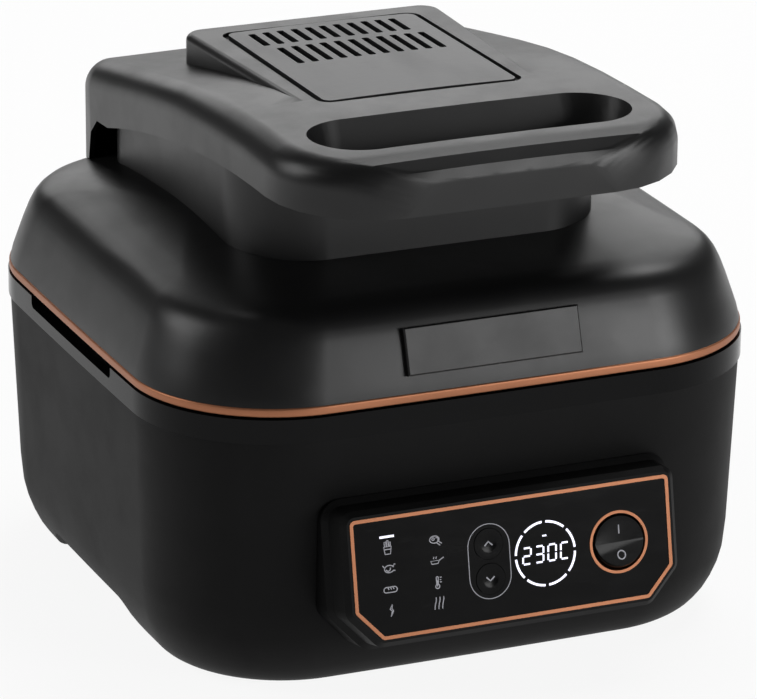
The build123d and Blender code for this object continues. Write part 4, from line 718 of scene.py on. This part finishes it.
onLine = [(rocker["x"], rocker["s"] + rocker["onFrom"]), (rocker["x"], rocker["s"] + rocker["onTo"])]
offLine = arc(rocker["x"], rocker["s"] - rocker["offDrop"], rocker["offRadius"], 0, 360, rocker["offSteps"])
for name, line in (("onMark", onLine), ("offMark", offLine)):
    printed(name, [line], rocker["line"], "whiteInkPaintedGlow", "rocker", "rocker_gloss", rockerHeight)
print("panel marks printed")

# a pale table that stands white behind the object and still takes its shadow
stage = {
    "size": 5.0, "tone": (0.92, 0.92, 0.92, 1), "rough": 0.9, "glow": 0.90,
    "white": (1, 1, 1, 1), "world": 0.10, "aim": (0, 0, 0.2),
}
reach = stage["size"]
corners = [(-reach, -reach, 0), (reach, -reach, 0), (reach, reach, 0), (-reach, reach, 0)]
tableMesh = bpy.data.meshes.new("tableTop")
tableMesh.from_pydata(corners, [], [(0, 1, 2, 3)])
tableTop = bpy.data.objects.new("tableTop", tableMesh)
bpy.context.scene.collection.objects.link(tableTop)
tableConstants = {"Roughness": stage["rough"], "Specular IOR Level": 0.0, "Base Color": stage["tone"]}
tablePaint = Paint("paleTable", tableConstants)
rayKinds = ("Is Camera Ray", "Is Glossy Ray", "Is Transmission Ray")
direct, glossy, clear = (tablePaint.add("ShaderNodeLightPath", out=kind) for kind in rayKinds)
white = tablePaint.add("ShaderNodeEmission", {}, {"Color": stage["white"], "Strength": 1.0})
plain = Wire(tablePaint, tablePaint.shader.outputs[0])
seen = (direct + glossy + clear) * stage["glow"]  # camera, mirror and glass rays find it white
surface = tablePaint.add("ShaderNodeMixShader", {}, {0: seen, 1: plain, 2: white})
tablePaint.feed(tablePaint.tree.nodes["Material Output"].inputs["Surface"], surface)
tableMesh.materials.append(tablePaint.material)

world = bpy.data.worlds.new("studio")
bpy.context.scene.world = world
world.use_nodes = True
sky = world.node_tree.nodes["Background"]
sky.inputs["Color"].default_value = stage["white"]
sky.inputs["Strength"].default_value = stage["world"]


def softbox(name, place, size, watts):
    lamp = bpy.data.lights.new(name, "AREA")
    lamp.shape = "RECTANGLE"
    lamp.size, lamp.size_y = size
    lamp.energy = watts
    made = bpy.data.objects.new(name, lamp)
    bpy.context.scene.collection.objects.link(made)
    made.location = place
    made.visible_camera = False
    made.rotation_euler = (Vector(stage["aim"]) - Vector(place)).to_track_quat("-Z", "Y").to_euler()


softboxes = {
    "backBox": {"place": (0.8, 2.3, 1.0), "size": (2.4, 0.9), "watts": 14.0},
    "overheadBox": {"place": (0.8, 0.6, 2.0), "size": (1.4, 1.2), "watts": 26.0},
    "leftBox": {"place": (-1.9, 0.6, 1.2), "size": (1.1, 1.1), "watts": 17.0},
    "rightBox": {"place": (1.5, -2.3, 0.7), "size": (1.3, 0.9), "watts": 36.0},
}
for name, choices in softboxes.items():
    softbox(name, **choices)

view = {
    "place": (-1.0400, -2.4413, 1.0843), "azimuth": -23.05, "elevation": 19.785, "roll": 0.355,
    "sensor": 36.0, "lens": 241.57, "shift": (0.0079, 0.00107), "farEnd": 20.0,
}
turn, rise, roll = (math.radians(view[k]) for k in ("azimuth", "elevation", "roll"))
back = Vector((math.sin(turn) * math.cos(rise), -math.cos(turn) * math.cos(rise), math.sin(rise)))
level = Vector((0, 0, 1)).cross(back).normalized()
rolledSide = math.cos(roll) * level + math.sin(roll) * back.cross(level)
rolledUp = back.cross(rolledSide)
cameraData = bpy.data.cameras.new("photoCamera")
cameraData.sensor_width = view["sensor"]
cameraData.lens = view["lens"]
cameraData.shift_x, cameraData.shift_y = view["shift"]
cameraData.clip_end = view["farEnd"]
camera = bpy.data.objects.new("photoCamera", cameraData)
bpy.context.scene.collection.objects.link(camera)
turned = Matrix((rolledSide, rolledUp, back)).transposed().to_4x4()
camera.matrix_world = Matrix.Translation(view["place"]) @ turned
bpy.context.scene.camera = camera
bpy.context.scene.view_settings.view_transform = "Standard"
print("stage set")
